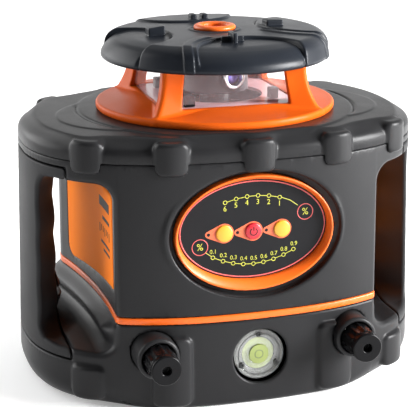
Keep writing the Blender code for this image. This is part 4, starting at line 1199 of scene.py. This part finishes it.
def build_camera():
    """The camera of the main view, with its picture shifted to frame the object."""
    camera = bpy.data.cameras.new("camera")
    camera.lens = 122.3
    camera.sensor_width = 36.0
    camera.shift_x = -0.0133
    camera.shift_y = -0.0213
    item = bpy.data.objects.new("camera", camera)
    bpy.context.scene.collection.objects.link(item)
    back = Vector((sin(AZIMUTH) * cos(ELEVATION), -cos(AZIMUTH) * cos(ELEVATION), sin(ELEVATION)))
    item.location = TARGET + back * DISTANCE
    item.rotation_mode = "QUATERNION"
    item.rotation_quaternion = (-back).to_track_quat("-Z", "Y")
    bpy.context.scene.camera = item


AIM_HEIGHT = 0.10


def softbox(name, heading, height, distance, size, power):
    """A rectangular light at a heading round the object: 0 is in front, and 90 is to the right."""
    light = bpy.data.lights.new(name, "AREA")
    light.shape = "RECTANGLE"
    light.size, light.size_y = size
    light.energy = power
    item = bpy.data.objects.new(name, light)
    bpy.context.scene.collection.objects.link(item)
    angle = radians(heading)
    item.location = (distance * sin(angle), -distance * cos(angle), height)
    aim = Vector((0.0, 0.0, AIM_HEIGHT)) - item.location
    item.rotation_euler = aim.to_track_quat("-Z", "Y").to_euler()


def build_sky(tree):
    """A studio that is bright low down and behind the object, and dark above and in front of it."""
    place_at = add(tree, "TexCoord")
    axes = add(tree, "SeparateXYZ")
    height = add(tree, "MapRange", From_Min=0.05, From_Max=0.50, To_Min=1.0, To_Max=0.25)
    depth = add(tree, "MapRange", From_Min=-0.35, From_Max=0.5, To_Min=0.18, To_Max=1.7)
    strength = add(tree, "Math")
    strength.operation = "MULTIPLY"
    link(tree, place_at.outputs["Generated"], axes.inputs["Vector"])
    link(tree, axes.outputs["Z"], height.inputs["Value"])
    link(tree, axes.outputs["Y"], depth.inputs["Value"])
    link(tree, height.outputs["Result"], strength.inputs[0])
    link(tree, depth.outputs["Result"], strength.inputs[1])
    tree.nodes["Background"].inputs["Color"].default_value = (1.0, 1.0, 1.0, 1.0)
    link(tree, strength.outputs["Value"], tree.nodes["Background"].inputs["Strength"])


FLOOR_REACH = 40.0


def build_stage():
    """A paper floor, the studio round it and three softboxes."""
    shape = bmesh.new()
    bmesh.ops.create_grid(shape, x_segments=8, y_segments=8, size=FLOOR_REACH)
    mesh = bpy.data.meshes.new("floor")
    shape.to_mesh(mesh)
    shape.free()
    floor = bpy.data.objects.new("floor", mesh)
    bpy.context.scene.collection.objects.link(floor)
    white = (0.92, 0.92, 0.92)
    paper = textured("floor_paper", white, 0.85, grain=400, relief=0.02, mottle=0.005, Emission_Strength=0.3)
    mesh.materials.append(paper)
    world = bpy.data.worlds.new("studio")
    bpy.context.scene.world = world
    world.use_nodes = True
    build_sky(world.node_tree)
    softbox("right_softbox", 62, 0.60, 1.7, (0.8, 0.9), 140.0)
    softbox("left_softbox", -124, 0.8, 1.9, (2.4, 1.5), 46.0)
    softbox("top_softbox", 180, 2.2, 0.5, (2.2, 2.2), 12.0)
    bpy.context.scene.view_settings.view_transform = "Standard"


build_camera()
build_stage()
build_housing()
build_head()
build_controls()
build_printed_marks()
dress_cad_parts()
